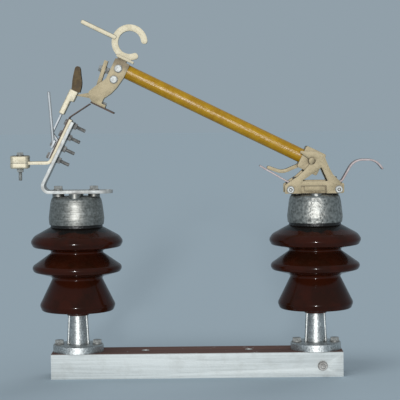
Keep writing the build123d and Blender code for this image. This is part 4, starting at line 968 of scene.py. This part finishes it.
def make_floor():
    half = FLOOR_SIZE / 2
    mesh = bpy.data.meshes.new("floor")
    corners = [(-half, -half, 0), (half, -half, 0), (half, half, 0), (-half, half, 0)]
    mesh.from_pydata(corners, [], [(0, 1, 2, 3)])
    floor = bpy.data.objects.new("floor", mesh)
    bpy.context.scene.collection.objects.link(floor)
    paper = new_finish("floor_paper", Base_Color=FLOOR_COLOUR, Roughness=0.9, Specular_IOR_Level=0.0)[0]
    mesh.materials.append(paper)


make_floor()
print("floor", FLOOR_SIZE, "m")

# %% [markdown]
# ## Light
# A distant lamp level with the camera gives the small highlights on the glaze, as a flash would. A wide
# one from above lights the tops without a highlight of its own, because a soft box that size would draw
# white patches on the glaze, and a third does the same for the back. Area lamps would leave a bright
# pool on the floor, but distant lamps light it evenly, so it stays plain, and the world shows that same
# tone to the camera and to reflections.

# %% Lamps and world
def add_sun(name, azimuth, elevation, strength, spread, mirrored):
    """Distant lamp at an azimuth, counted from the front to the right, and an elevation."""
    lamp = bpy.data.lights.new(name, "SUN")
    lamp.energy = strength
    lamp.angle = math.radians(spread)
    holder = bpy.data.objects.new(name, lamp)
    a, e = math.radians(azimuth), math.radians(elevation)
    source = Vector((math.sin(a) * math.cos(e), -math.cos(a) * math.cos(e), math.sin(e)))
    holder.rotation_mode = "QUATERNION"
    holder.rotation_quaternion = source.to_track_quat("Z", "Y")
    holder.visible_glossy = mirrored
    bpy.context.scene.collection.objects.link(holder)


FILL, BACKGROUND = (0.30, 0.32, 0.34, 1), (0.284, 0.350, 0.398, 1)


def make_world():
    world = bpy.data.worlds.new("studio")
    bpy.context.scene.world = world
    world.use_nodes = True
    tree = world.node_tree
    path = add(tree, "ShaderNodeLightPath").outputs
    seen = calculate(tree, "MAXIMUM", path["Is Camera Ray"], path["Is Glossy Ray"])
    seen = calculate(tree, "MAXIMUM", seen, path["Is Transmission Ray"])
    colour = blend_colours(tree, seen, FILL, BACKGROUND)
    tree.links.new(colour, tree.nodes["Background"].inputs["Color"])


# Lamp: azimuth, elevation, strength, spread, whether it draws highlights; angles in degrees
LAMPS = {
    "flash": (-2, 6, 2.0, 3.5, True),
    "skylight": (-35, 62, 0.5, 25, False),
    "backlight": (150, 45, 0.37, 35, False),
}
for name, settings in LAMPS.items():
    add_sun(name, *settings)
make_world()
print("lamps:", *LAMPS)

# %% [markdown]
# ## Camera
# The picture was taken from about two and a half metres, square to the channel, from a little above and
# with a slight roll. A lens could be tried until the size fits, but it follows from the width that the
# picture shows at the object and from the distance.

# %% Camera
AIM = Vector((7.1 * MM, 0, 281 * MM))
PICTURE_WIDTH = 640 * MM
CAMERA_DISTANCE = 2.513
CAMERA_RISE, CAMERA_ROLL = math.radians(3.2), math.radians(-0.6)
SENSOR_WIDTH = 36.0
CLIP_END = 200.0


def make_camera():
    data = bpy.data.cameras.new("camera")
    data.sensor_width = SENSOR_WIDTH
    data.lens = data.sensor_width * CAMERA_DISTANCE / PICTURE_WIDTH
    data.clip_end = CLIP_END
    camera = bpy.data.objects.new("camera", data)
    back = Vector((0, -math.cos(CAMERA_RISE), math.sin(CAMERA_RISE)))
    camera.location = AIM + back * CAMERA_DISTANCE
    camera.rotation_mode = "QUATERNION"
    camera.rotation_quaternion = back.to_track_quat("Z", "Y") @ Quaternion((0, 0, 1), CAMERA_ROLL)
    bpy.context.scene.collection.objects.link(camera)
    bpy.context.scene.camera = camera
    print("lens", round(data.lens), "mm")


make_camera()
bpy.context.scene.view_settings.view_transform = "Standard"
